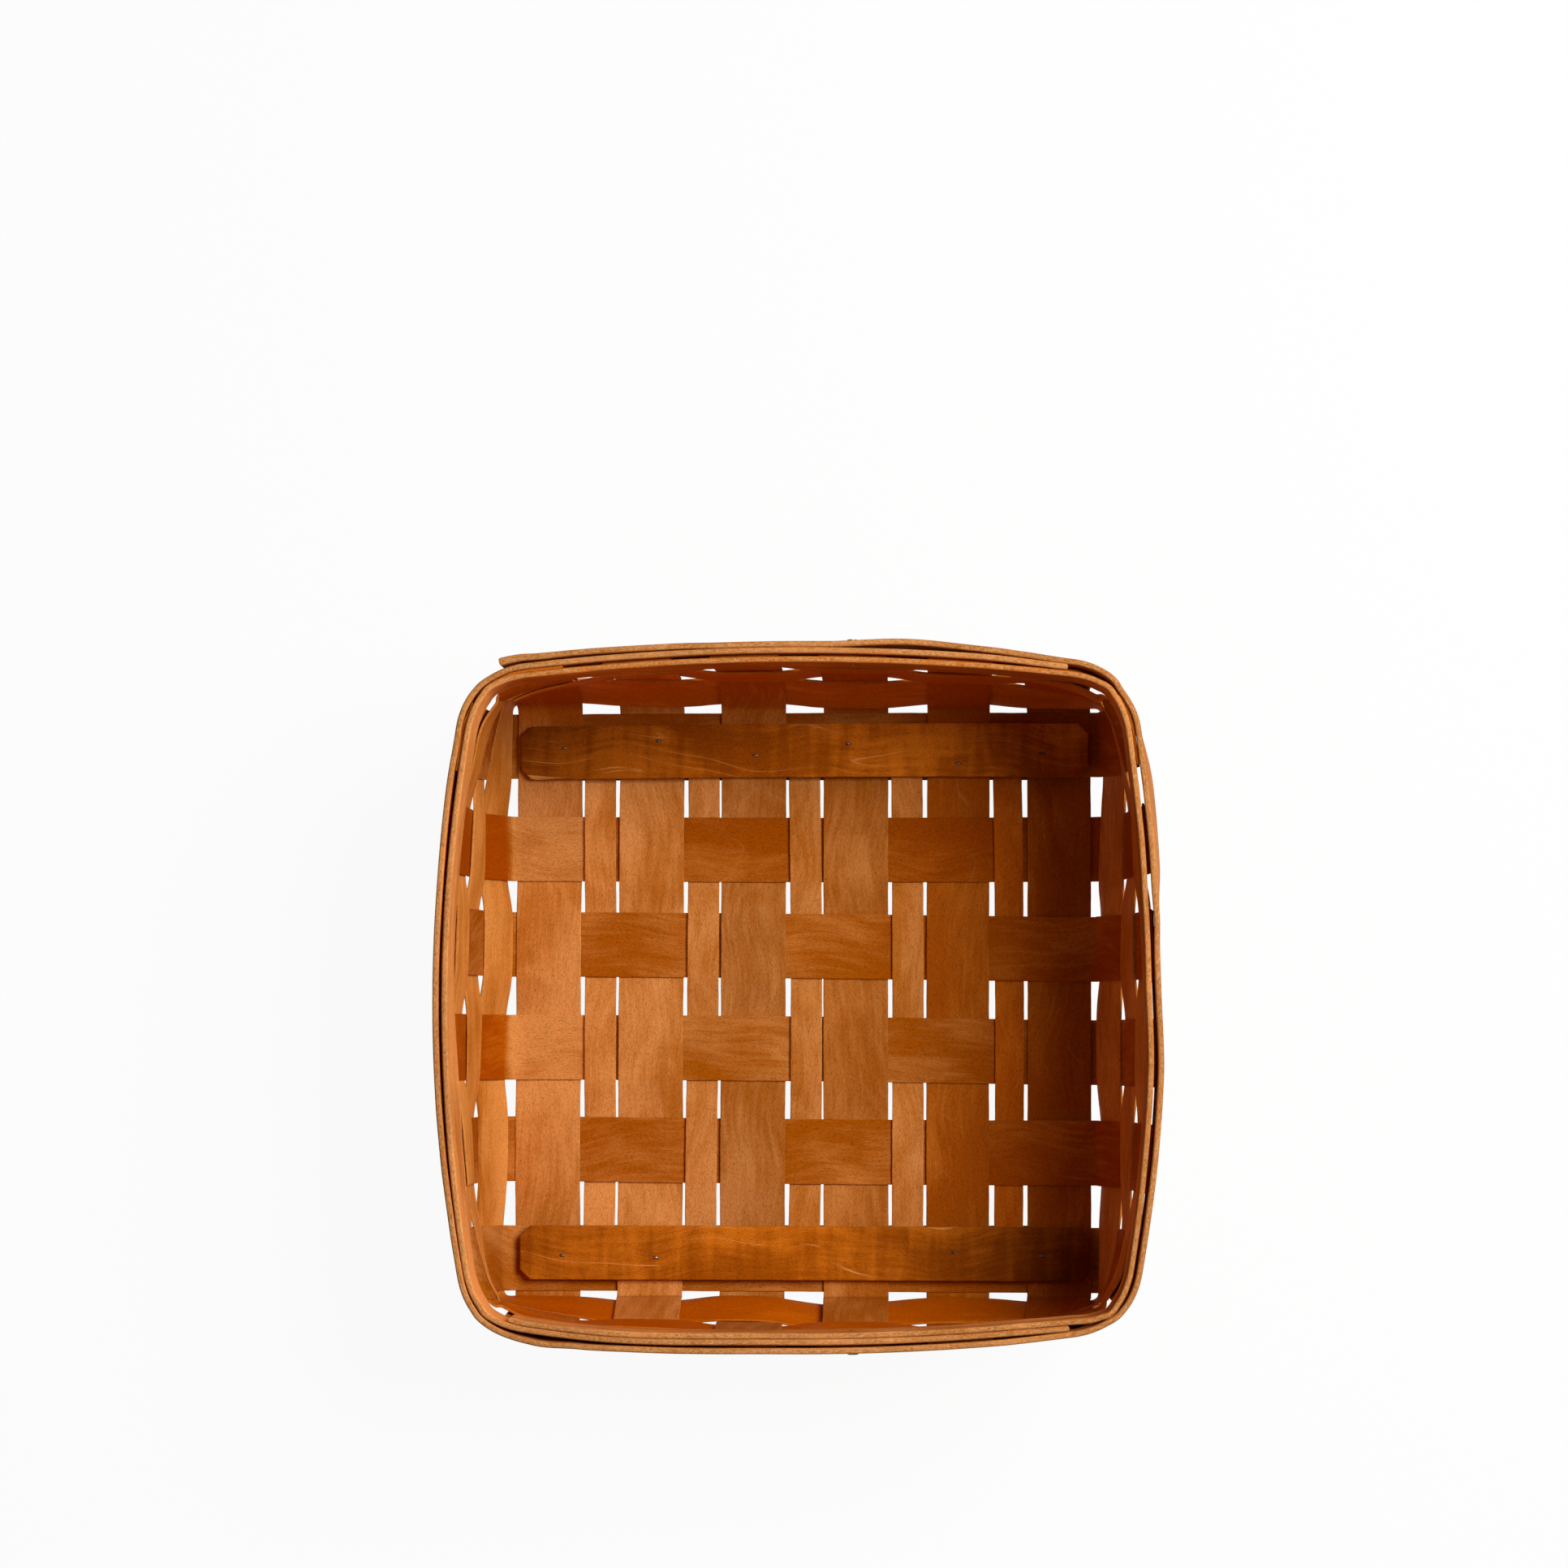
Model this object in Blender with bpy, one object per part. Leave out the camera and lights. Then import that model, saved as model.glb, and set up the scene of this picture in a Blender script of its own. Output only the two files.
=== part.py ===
"""Square splint basket: flat wooden splints woven into a base and four walls, with a hooped rim.

Twelve wide stakes cross in the base and stand up as the walls. Three closed bands are woven round
them, two thicker hoops clamp their ends, and nailed cleats and runners keep the base flat.
Metres, +Z up, opening upwards, standing on the ground with the origin under the basket's middle.
Heights in the code count from the middle surface of the base.
"""

import math

import bmesh
import bpy
from mathutils import Matrix, Vector

# Splints and the weave of the base
SPLINT_WIDTH = 0.0254
SPLINT_THICKNESS = 0.0010
CLEARANCE = 0.0003
WEAVE_GAP = 0.0146
FILLER_PLAY = 0.0011
STAKES_PER_WAY = 6
LENGTHWISE_DRIFT_SHARES = (0.0125, 0.0, 0.0, 0.0, 0.005, -0.0125)
CROSSWISE_DRIFT_SHARES = (0.0, 0.0625, 0.0625, 0.0625, 0.0, 0.0)
OUTER_STAKE_SHARES = (0.0, 0.5, 0.75, 1.0)

# Walls, and the bands woven round them
BAND_NAMES = ("lower_band", "middle_band", "upper_band")
BAND_LAP_STAKES = (21, 11, 16)
BAND_LAP_INSET = 0.0010
FIRST_BAND_RISE = 0.0030
BAND_GAP = 0.0024
FOLD_MARGIN = 0.0012
FOLD_STEP_SHARES = (0.0, 0.3, 0.6, 0.85)
BELLY = 0.0135
BELLY_RISE = 0.0175
SIDE_FLARE = 0.0163
END_FLARE = 0.0116
BASE_CORNER_RADIUS = 0.0060
CORNER_TUCK = 0.0085
CORNER_TUCK_POWER = 6
GAP_SHARES = (0.3, 0.7)
CORNER_SHARES = (0.25, 0.5, 0.75)

# Rim
HOOP_WIDTH = 0.0254
HOOP_THICKNESS = 0.0020
RIM_GAP = 0.0025
RIM_STEP = 0.0016
SIDE_BOW = 0.0135
END_BOW = 0.0098
RIM_CORNER_RADIUS = 0.0263
STAKE_SETBACK = 0.0034
HOOP_TIP_INSET = 0.0025
HOOP_PARTING = 0.0022
PARTED_STAKES = (7, 8)
FREE_END_LIFT = 0.0045

# Cleats, runners, nails and tacks
CLEAT_WIDTH = 0.0210
CLEAT_THICKNESS = 0.0030
CLEAT_CHAMFER = 0.0040
CLEAT_END_INSET = 0.0019
CLEAT_INSET = 0.0024
RUNNER_THICKNESS = 0.0045
EDGE_BEVEL = 0.0005
NAIL_RADIUS = 0.0007
NAIL_HEAD_RADIUS = 0.0016
NAIL_HEAD_THICKNESS = 0.0008
NAIL_RECESS = 0.0002
NAIL_TIP = 0.0003
FAR_NAIL_SHARES = ((0.22, 0.08), (0.11, 0.21), (0.04, -0.06), (-0.12, 0.15), (0.0, -0.22), (-0.26, -0.03))
NEAR_NAIL_SHARES = ((0.21, -0.04), (0.08, -0.08), (0.05, 0.15), (-0.1, -0.12), (-0.08, 0.02), (-0.3, -0.04))
TACK_RADIUS = 0.0006
TACK_HEAD_RADIUS = 0.0020
TACK_HEAD_THICKNESS = 0.0006
TACK_STAKE = 3
CUT_OVERRUN = 0.0020
PIN_SIDES = 8

# Worked out from the sizes above
PITCH = SPLINT_WIDTH + WEAVE_GAP
OUTERMOST = (STAKES_PER_WAY - 1) / 2 * PITCH
FILLER_WIDTH = WEAVE_GAP - 2 * FILLER_PLAY
WEAVE_LIFT = SPLINT_THICKNESS + CLEARANCE
STAKES_END = OUTERMOST + SPLINT_WIDTH / 2
FOLD_HALF = STAKES_END + FOLD_MARGIN
WEAVE_HEIGHT = FIRST_BAND_RISE + len(BAND_NAMES) * (SPLINT_WIDTH + BAND_GAP)
FIRST_HOOP_OFFSET = SPLINT_THICKNESS / 2 + CLEARANCE + HOOP_THICKNESS / 2
SECOND_HOOP_OFFSET = FIRST_HOOP_OFFSET + HOOP_THICKNESS + CLEARANCE
CLEAT_BOTTOM = WEAVE_LIFT + SPLINT_THICKNESS / 2 + CLEARANCE
CLEAT_TOP = CLEAT_BOTTOM + CLEAT_THICKNESS
RUNNER_BOTTOM = -CLEAT_BOTTOM - RUNNER_THICKNESS

# The walls in order round the basket, each with its way out and the way its places are counted
RIGHT, FAR, LEFT, NEAR = range(4)
OUTWARD = (Vector((1, 0, 0)), Vector((0, 1, 0)), Vector((-1, 0, 0)), Vector((0, -1, 0)))
ALONG = (Vector((0, 1, 0)), Vector((-1, 0, 0)), Vector((0, -1, 0)), Vector((1, 0, 0)))
UP = Vector((0, 0, 1))
SETTLING_ROUNDS = 12
SHARP_ANGLE = math.radians(35)


def finish(name, colour, roughness, metallic=0.0):
    """A plain material."""
    material = bpy.data.materials.new(name)
    material.use_nodes = True
    shader = material.node_tree.nodes["Principled BSDF"]
    shader.inputs["Base Color"].default_value = (*colour, 1.0)
    shader.inputs["Roughness"].default_value = roughness
    shader.inputs["Metallic"].default_value = metallic
    return material


def finished_mesh(name, shape):
    """The bmesh as a mesh with its faces pointing out, shaded smooth between its sharp edges."""
    bmesh.ops.recalc_face_normals(shape, faces=shape.faces)
    mesh = bpy.data.meshes.new(name)
    shape.to_mesh(mesh)
    shape.free()
    mesh.shade_smooth()
    mesh.set_sharp_from_angle(angle=SHARP_ANGLE)
    return mesh


def add_object(name, mesh, material):
    """The mesh as a named object that stands with the rest of the basket."""
    thing = bpy.data.objects.new(name, mesh)
    bpy.context.scene.collection.objects.link(thing)
    thing.parent = basket
    mesh.materials.append(material)
    return thing


def direction(points, i):
    """The way a row of points runs at one of them."""
    ahead = points[min(i + 1, len(points) - 1)] - points[i]
    behind = points[i] - points[max(i - 1, 0)]
    return (ahead.normalized() + behind.normalized()).normalized()


def strip(name, grid, thickness, material):
    """A flat strip bent along its middle surface, which is given as rows of points across it."""
    shape = bmesh.new()
    rows = []
    for i, row in enumerate(grid):
        lower, upper = [], []
        for k, point in enumerate(row):
            lengthwise = direction([other[k] for other in grid], i)
            half = lengthwise.cross(direction(row, k)).normalized() * (thickness / 2)
            lower.append(shape.verts.new(point - half))
            upper.append(shape.verts.new(point + half))
        rows.append(lower + upper[::-1])
    across = len(grid[0])
    for row, following in zip(rows, rows[1:]):
        for k in range(len(row)):
            shape.faces.new((row[k - 1], row[k], following[k], following[k - 1]))
    for row in (rows[0], rows[-1]):
        for k in range(across - 1):
            shape.faces.new((row[k], row[k + 1], row[-k - 2], row[-k - 1]))
    return add_object(name, finished_mesh(name, shape), material)


def turned(name, profile):
    """A closed turned solid, from its (radius, height) pairs, bottom first."""
    shape = bmesh.new()
    turns = [math.tau * side / PIN_SIDES for side in range(PIN_SIDES)]
    rings = [[shape.verts.new((r * math.cos(a), r * math.sin(a), z)) for a in turns] for r, z in profile]
    for ring, above in zip(rings, rings[1:]):
        for k in range(PIN_SIDES):
            shape.faces.new((ring[k - 1], ring[k], above[k], above[k - 1]))
    shape.faces.new(rings[0])
    shape.faces.new(rings[-1])
    return finished_mesh(name, shape)


class Outline:
    """The middle surface of the walls at one height: four bowed sides with round corners.

    The tuck is how far the corner stakes' outer edges are drawn in beyond the bow.
    """

    def __init__(self, height, half, bow, tuck, radius):
        self.height, self.half, self.bow, self.tuck, self.radius = height, half, bow, tuck, radius
        self.centre = [half[0] - radius, half[1] - radius]
        self.touch = list(self.centre)
        for _ in range(SETTLING_ROUNDS):
            for out, side in ((0, 1), (1, 0)):
                lean = self.side_lean(side, self.touch[side])
                self.touch[side] = self.centre[side] + radius * math.sin(lean)
                self.centre[out] = self.side_reach(side, self.touch[side]) - radius * math.cos(lean)

    def side_lean(self, side, along):
        """How far a bowed side has turned, this far along it."""
        bowed = 2 * self.bow[1 - side] * along / self.half[side] ** 2
        tucked = CORNER_TUCK_POWER * self.tuck * (along / STAKES_END) ** (CORNER_TUCK_POWER - 1) / STAKES_END
        return math.atan(bowed + tucked)

    def side_reach(self, side, along):
        """How far out a bowed side is, this far along it."""
        bowed = self.bow[1 - side] * (along / self.half[side]) ** 2
        return self.half[1 - side] - bowed - self.tuck * (along / STAKES_END) ** CORNER_TUCK_POWER

    def lean_at(self, wall, along):
        """How far the outline has turned at a place on a wall, its round corners included."""
        side = (wall + 1) % 2
        if abs(along) <= self.touch[side]:
            return self.side_lean(side, along)
        return math.copysign(math.asin((abs(along) - self.centre[side]) / self.radius), along)

    def point(self, wall, along, reach, lean):
        """A point of the outline and the way out from it."""
        place = OUTWARD[wall] * reach + ALONG[wall] * along + UP * self.height
        return place, OUTWARD[wall] * math.cos(lean) + ALONG[wall] * math.sin(lean)

    def on_wall(self, wall, along):
        """The outline this far along a wall."""
        side = (wall + 1) % 2
        lean = self.lean_at(wall, along)
        reach = self.side_reach(side, along)
        if abs(along) > self.touch[side]:
            reach = self.centre[1 - side] + self.radius * math.cos(lean)
        return self.point(wall, along, reach, lean)

    def in_corner(self, wall, last, first, share):
        """The outline between the last place on a wall and the first on the next wall."""
        side = (wall + 1) % 2
        start = self.lean_at(wall, last)
        end = math.pi / 2 + self.lean_at((wall + 1) % 4, first)
        lean = start + (end - start) * share
        along = self.centre[side] + self.radius * math.sin(lean)
        reach = self.centre[1 - side] + self.radius * math.cos(lean)
        return self.point(wall, along, reach, lean)


class Station:
    """A place round the walls: on a stake, or a share of the way from it to the next stake."""

    def __init__(self, wall, along, stake, share=0.0, next_along=None):
        self.wall, self.along, self.stake = wall, along, stake
        self.share, self.next_along = share, next_along

    def at(self, outline):
        """The station's point on an outline, and the way out from it."""
        if self.next_along is None:
            return outline.on_wall(self.wall, self.along)
        return outline.in_corner(self.wall, self.along, self.next_along, self.share)

    def moved(self, distance):
        """The same place a little further along its wall."""
        return Station(self.wall, self.along + distance, self.stake)


def wall_half(height, flare):
    """Half the distance between opposite walls at their middle, from the base to the rim."""
    belly = BELLY * (1 - math.exp(-height / BELLY_RISE))
    return FOLD_HALF + belly + (flare - BELLY) * (height / WEAVE_HEIGHT) ** 2


def woven_outline(height):
    """The outline of the woven part of the walls at a height."""
    share = height / WEAVE_HEIGHT
    radius = BASE_CORNER_RADIUS + (RIM_CORNER_RADIUS - BASE_CORNER_RADIUS) * share
    half = (wall_half(height, SIDE_FLARE), wall_half(height, END_FLARE))
    bow = (SIDE_BOW * share**2, END_BOW * share**2)
    return Outline(height, half, bow, CORNER_TUCK * math.sin(math.pi * share), radius)


def rim_outline(height):
    """The outline between the hoops, which hold the stakes upright and a small step further out."""
    half = (FOLD_HALF + SIDE_FLARE + RIM_STEP, FOLD_HALF + END_FLARE + RIM_STEP)
    return Outline(height, half, (SIDE_BOW, END_BOW), 0, RIM_CORNER_RADIUS)


def band_top(bottom):
    """The height of a band's upper edge, its width being measured up the leaning wall."""
    rise = SPLINT_WIDTH
    for _ in range(SETTLING_ROUNDS):
        run = sum(wall_half(bottom + rise, f) - wall_half(bottom, f) for f in (SIDE_FLARE, END_FLARE)) / 2
        rise = math.sqrt(SPLINT_WIDTH**2 - run**2)
    return bottom + rise


def band_outlines():
    """The lower and upper outline of each band, lowest first."""
    outlines, bottom = [], FIRST_BAND_RISE
    for _ in BAND_NAMES:
        top = band_top(bottom)
        outlines.append((woven_outline(bottom), woven_outline(top)))
        bottom = top + BAND_GAP
    return outlines


def stake_centres(drift_shares):
    """The middles of the stakes that lie side by side, with the small slips of hand work."""
    return [(i + share) * PITCH - OUTERMOST for i, share in enumerate(drift_shares)]


def cross_lines(index, centre):
    """Places across a stake. The two by the corners are cupped at the rim, so they have more."""
    if index == 0:
        shares = [1 - share for share in reversed(OUTER_STAKE_SHARES)]
    elif index == STAKES_PER_WAY - 1:
        shares = OUTER_STAKE_SHARES
    else:
        shares = (0, 1)
    return [centre + (share - 1 / 2) * SPLINT_WIDTH for share in shares]


def along_wall(wall, place):
    """A place on the X or Y axis as the wall that runs along that axis counts it."""
    return place * sum(ALONG[wall])


def ring_of_stations(centres_by_wall):
    """Every station round the walls in order, from the first stake of the right wall."""
    walls = []
    for wall, centres in enumerate(centres_by_wall):
        lines = [cross_lines(index, centre) for index, centre in enumerate(centres)]
        walls.append(sorted(sorted(along_wall(wall, line) for line in stake) for stake in lines))
    ring = []
    for wall, stakes in enumerate(walls):
        for index, places in enumerate(stakes):
            number = wall * STAKES_PER_WAY + index
            ring += [Station(wall, along, number) for along in places]
            last = places[-1]
            if index + 1 < len(stakes):
                gap = stakes[index + 1][0] - last
                ring += [Station(wall, last + share * gap, number, share) for share in GAP_SHARES]
            else:
                first = walls[(wall + 1) % 4][0][0]
                ring += [Station(wall, last, number, share, first) for share in CORNER_SHARES]
    return ring


def on_stake(ring, number):
    """Where a stake's own stations are in the ring."""
    return [i for i, station in enumerate(ring) if station.stake == number and station.share == 0]


def ease(share):
    """A smooth step from 0 to 1."""
    return share * share * (3 - 2 * share)


def wall_row(station, low, high, offset):
    """The edge points of a strip that runs round the walls, set out from their middle surface."""
    (foot, foot_out), (head, head_out) = station.at(low), station.at(high)
    out = (foot_out + head_out).normalized()
    rise = head - foot
    square = (out * rise.z - UP * rise.dot(out)).normalized()
    return [foot + square * offset, head + square * offset]


def base_point(wall, line, reach, lift):
    """A point of the base on a line across a strip that runs towards a wall."""
    return OUTWARD[wall] * reach + ALONG[wall] * along_wall(wall, line) + UP * lift


def base_rows(lines, crossing_centres, lifts, wall):
    """The rows of a strip over and under the strips that cross it in the base."""
    rows = []
    for centre, lift in zip(crossing_centres, lifts):
        for edge in (centre - SPLINT_WIDTH / 2, centre + SPLINT_WIDTH / 2):
            rows.append([base_point(wall, line, edge, lift) for line in lines])
    return rows


def wall_rows(lines, edge, lift, wall, outlines):
    """The rows of a stake from its fold, past the last crossing strip, to its top end."""
    columns = []
    for line in lines:
        climb = [outline.on_wall(wall, along_wall(wall, line))[0] for outline in outlines]
        slope = climb[1] - climb[0]
        start = base_point(wall, line, edge, lift)
        corner = climb[0] - slope * ((climb[0].z - lift) / slope.z)
        fold = [start.lerp(corner, s).lerp(corner.lerp(climb[0], s), s) for s in FOLD_STEP_SHARES]
        columns.append(fold + climb)
    return [list(row) for row in zip(*columns)]


def stake(name, index, centre, crossing_centres, lifts, walls, outlines, material):
    """A splint from the top of one wall, down, across the base and up the opposite wall."""
    lines = cross_lines(index, centre)
    behind, ahead = walls
    down = wall_rows(lines, SPLINT_WIDTH / 2 - crossing_centres[0], lifts[0], behind, outlines)
    up = wall_rows(lines, SPLINT_WIDTH / 2 + crossing_centres[-1], lifts[-1], ahead, outlines)
    base = base_rows(lines, crossing_centres, lifts, ahead)[1:-1] if any(lifts) else []
    return strip(name, down[::-1] + base + up, SPLINT_THICKNESS, material)


def over_and_under(index):
    """The heights at which a lengthwise strip passes the crosswise stakes."""
    return [WEAVE_LIFT if (index + row) % 2 else -WEAVE_LIFT for row in range(STAKES_PER_WAY)]


def filler(name, index, lengthwise, crosswise, material):
    """A narrow splint between two lengthwise stakes, with its ends caught by the cleats."""
    middle = (lengthwise[index] + lengthwise[index + 1]) / 2
    lines = (middle - FILLER_WIDTH / 2, middle + FILLER_WIDTH / 2)
    lifts = over_and_under(index + 1)
    ends = [
        [base_point(FAR, line, centre, lift) for line in lines]
        for centre, lift in zip(cleat_middles(crosswise), (lifts[0], lifts[-1]))
    ]
    inner = base_rows(lines, crosswise, lifts, FAR)[1:-1]
    return strip(name, [ends[0], *inner, ends[1]], SPLINT_THICKNESS, material)


def woven_band(name, ring, outlines, odd_side, lap_stake, material):
    """A closed band woven in and out of the stakes, with its ends lapped on one of them."""
    lap = on_stake(ring, lap_stake)
    once_round = ring[lap[0]:] + ring[:lap[0]]
    once_round[0] = once_round[0].moved(BAND_LAP_INSET)
    lapped = ring[lap[0]:lap[-1]] + [ring[lap[-1]].moved(-BAND_LAP_INSET)]
    grid = []
    for stations, layer in ((once_round, 0), (lapped, 1)):
        for station in stations:
            side = odd_side if station.stake % 2 else -odd_side
            layers = math.cos(math.pi * station.share) + layer
            grid.append(wall_row(station, *outlines, side * layers * WEAVE_LIFT))
    return strip(name, grid, SPLINT_THICKNESS, material)


def hoop_offset(layer):
    """How far a hoop lies from the stakes' middle, layer 0 against them and 1 on top of that."""
    return FIRST_HOOP_OFFSET + layer * (SECOND_HOOP_OFFSET - FIRST_HOOP_OFFSET)


def inner_hoop(ring, outlines, material):
    """The hoop inside the stakes. It laps itself all along the near wall, inner layer first."""
    start = on_stake(ring, NEAR * STAKES_PER_WAY)[0]
    corner_stake = on_stake(ring, (NEAR + 1) * STAKES_PER_WAY - 1)
    covered, closed = corner_stake[1], corner_stake[-1]
    grid = [wall_row(ring[start].moved(HOOP_TIP_INSET), *outlines, -hoop_offset(1))]
    grid += [wall_row(station, *outlines, -hoop_offset(1)) for station in ring[start + 1:covered]]
    for i in range(covered, closed):
        layer = 1 - ease((i - covered) / (closed - covered))
        grid.append(wall_row(ring[i], *outlines, -hoop_offset(layer)))
    for station in ring[closed:] + ring[:covered + 1]:
        grid.append(wall_row(station, *outlines, -hoop_offset(0)))
    return strip("inner_hoop", grid, HOOP_THICKNESS, material)


def parting(ring, along):
    """How far the lapped layers of the outer hoop part where it springs off the far wall."""
    start, end = (on_stake(ring, number) for number in PARTED_STAKES)
    first, last = ring[start[0]].along, ring[end[-1]].along
    share = min(max((along - first) / (last - first), 0), 1)
    return HOOP_PARTING * math.sin(math.pi * share) ** 2


def outer_hoop(ring, outlines, material):
    """The hoop outside the stakes. It laps itself along the far wall and ends standing off it."""
    corner_stake = on_stake(ring, FAR * STAKES_PER_WAY)
    opened, start = corner_stake[0], corner_stake[-2]
    last_stake = on_stake(ring, (FAR + 1) * STAKES_PER_WAY - 1)
    grid = [wall_row(station, *outlines, hoop_offset(0)) for station in ring[start:] + ring[:opened]]
    for i in range(opened, start):
        layer = ease((i - opened) / (start - opened))
        grid.append(wall_row(ring[i], *outlines, hoop_offset(layer)))
    lap = ring[start:last_stake[-1]] + [ring[last_stake[-1]].moved(-HOOP_TIP_INSET)]
    lift_from = ring[last_stake[0]].along
    for station in lap:
        lift = max((station.along - lift_from) / (lap[-1].along - lift_from), 0)
        stand_off = parting(ring, station.along) + FREE_END_LIFT * lift**2
        grid.append(wall_row(station, *outlines, hoop_offset(1) + stand_off))
    return strip("outer_hoop", grid, HOOP_THICKNESS, material)


def cleat_middles(crosswise):
    """The middles of the near and the far cleat, and of the runners under them."""
    return crosswise[0] + CLEAT_INSET, crosswise[-1] - CLEAT_INSET


def board(name, middle, bottom, thickness, material):
    """A batten across the base with its four corners cut off."""
    end = OUTERMOST + SPLINT_WIDTH / 2 - CLEAT_END_INSET
    half = CLEAT_WIDTH / 2
    shape = bmesh.new()
    corners = []
    for x_side, y_side in ((1, 1), (-1, 1), (-1, -1), (1, -1)):
        pair = [(end, half - CLEAT_CHAMFER), (end - CLEAT_CHAMFER, half)]
        for x, y in pair if x_side == y_side else reversed(pair):
            corners.append(shape.verts.new((x_side * x, y_side * y + middle, bottom)))
    raised = bmesh.ops.extrude_face_region(shape, geom=[shape.faces.new(corners)])["geom"]
    top = [part for part in raised if isinstance(part, bmesh.types.BMVert)]
    bmesh.ops.translate(shape, verts=top, vec=UP * thickness)
    thing = add_object(name, finished_mesh(name, shape), material)
    bevel = thing.modifiers.new("edges", "BEVEL")
    bevel.width = EDGE_BEVEL
    bevel.segments = 1
    bevel.limit_method = "ANGLE"
    return thing


def nail_places(crosswise, lengthwise):
    """Where the nails stand, near row first: one in each lengthwise stake."""
    places = []
    for middle, row in zip(cleat_middles(crosswise), (NEAR_NAIL_SHARES, FAR_NAIL_SHARES)):
        for centre, (across, up) in zip(lengthwise, row):
            places.append(Vector((centre + across * SPLINT_WIDTH, middle + up * CLEAT_WIDTH, 0)))
    return places


def nail_profile(clearance):
    """A nail from its sunk head up to its tip, or the hole that it goes through."""
    bottom = RUNNER_BOTTOM + (NAIL_RECESS if clearance == 0 else -CUT_OVERRUN)
    shoulder = RUNNER_BOTTOM + NAIL_RECESS + NAIL_HEAD_THICKNESS + clearance
    top = CLEAT_TOP + (NAIL_TIP if clearance == 0 else CUT_OVERRUN)
    head, shank = NAIL_HEAD_RADIUS + clearance, NAIL_RADIUS + clearance
    return [(head, bottom), (head, shoulder), (shank, shoulder), (shank, top)]


def tack_profile(inner_offset, outer_offset):
    """A tack from its tip, inside the innermost hoop layer, to its head outside the outermost."""
    inside = -inner_offset - HOOP_THICKNESS / 2 - NAIL_TIP
    face = outer_offset + HOOP_THICKNESS / 2 + CLEARANCE
    shank, head = TACK_RADIUS, TACK_HEAD_RADIUS
    return [(shank, inside), (shank, face), (head, face), (head, face + TACK_HEAD_THICKNESS)]


def tack_hole_profile():
    """The hole for a tack, through both hoops and the stake."""
    radius, reach = TACK_RADIUS + CLEARANCE, hoop_offset(1) + HOOP_THICKNESS + HOOP_PARTING
    return [(radius, -reach), (radius, reach)]


def cutter(name, profile, matrices):
    """A tool that cuts one hole at each placing, and isn't part of the basket."""
    shape = bmesh.new()
    for matrix in matrices:
        hole = turned(name, profile)
        hole.transform(matrix)
        shape.from_mesh(hole)
        bpy.data.meshes.remove(hole)
    tool = add_object(name, finished_mesh(name, shape), steel)
    tool.hide_render = True
    tool.display_type = "WIRE"
    return tool


def cut(thing, tool):
    """Takes the tool's holes out of a piece."""
    holes = thing.modifiers.new(tool.name, "BOOLEAN")
    holes.object = tool
    holes.solver = "EXACT"


for leftover in list(bpy.data.objects):
    bpy.data.objects.remove(leftover)
basket = bpy.data.objects.new("basket", None)
bpy.context.scene.collection.objects.link(basket)

lengthwise_wood = finish("lengthwise_wood", (0.53, 0.23, 0.08), 0.6)
crosswise_wood = finish("crosswise_wood", (0.46, 0.15, 0.03), 0.6)
band_wood = finish("band_wood", (0.5, 0.2, 0.06), 0.6)
hoop_wood = finish("hoop_wood", (0.45, 0.17, 0.05), 0.65)
cleat_wood = finish("cleat_wood", (0.36, 0.12, 0.02), 0.55)
steel = finish("steel", (0.4, 0.38, 0.36), 0.45, 1.0)

lengthwise = stake_centres(LENGTHWISE_DRIFT_SHARES)
crosswise = stake_centres(CROSSWISE_DRIFT_SHARES)
bands = band_outlines()
hoop_bottom = bands[-1][1].height + RIM_GAP
hoop_top = hoop_bottom + HOOP_WIDTH
hoop_outlines = (rim_outline(hoop_bottom), rim_outline(hoop_top))
climb = [outline for pair in bands for outline in pair]
climb += [hoop_outlines[0], rim_outline(hoop_top - STAKE_SETBACK)]
stations = ring_of_stations((crosswise, lengthwise, crosswise, lengthwise))

pieces = {}
for i in range(STAKES_PER_WAY):
    pieces[f"lengthwise_stake_{i + 1}"] = stake(
        f"lengthwise_stake_{i + 1}", i, lengthwise[i], crosswise, over_and_under(i), (NEAR, FAR), climb,
        lengthwise_wood,
    )
    pieces[f"crosswise_stake_{i + 1}"] = stake(
        f"crosswise_stake_{i + 1}", i, crosswise[i], lengthwise, [0] * STAKES_PER_WAY, (LEFT, RIGHT), climb,
        crosswise_wood,
    )
for i in range(STAKES_PER_WAY - 1):
    pieces[f"filler_{i + 1}"] = filler(f"filler_{i + 1}", i, lengthwise, crosswise, lengthwise_wood)
for i, (name, outlines, lap_stake) in enumerate(zip(BAND_NAMES, bands, BAND_LAP_STAKES)):
    pieces[name] = woven_band(name, stations, outlines, -1 if i % 2 else 1, lap_stake, band_wood)

rim_middle = rim_outline((hoop_bottom + hoop_top) / 2)
pieces["inner_hoop"] = inner_hoop(stations, hoop_outlines, hoop_wood)
pieces["outer_hoop"] = outer_hoop(stations, hoop_outlines, hoop_wood)
far_tack_along = along_wall(FAR, lengthwise[TACK_STAKE])
far_tack_layers = (hoop_offset(0), hoop_offset(1) + parting(stations, far_tack_along))
tack_matrices = []
for name, wall, along, layers in (
    ("near_rim_tack", NEAR, lengthwise[TACK_STAKE], (hoop_offset(1), hoop_offset(0))),
    ("far_rim_tack", FAR, far_tack_along, far_tack_layers),
):
    place, out = rim_middle.on_wall(wall, along)
    matrix = Matrix.Translation(place) @ out.to_track_quat("Z", "Y").to_matrix().to_4x4()
    mesh = turned(name, tack_profile(*layers))
    mesh.transform(matrix)
    pieces[name] = add_object(name, mesh, steel)
    tack_matrices.append(matrix)

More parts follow.
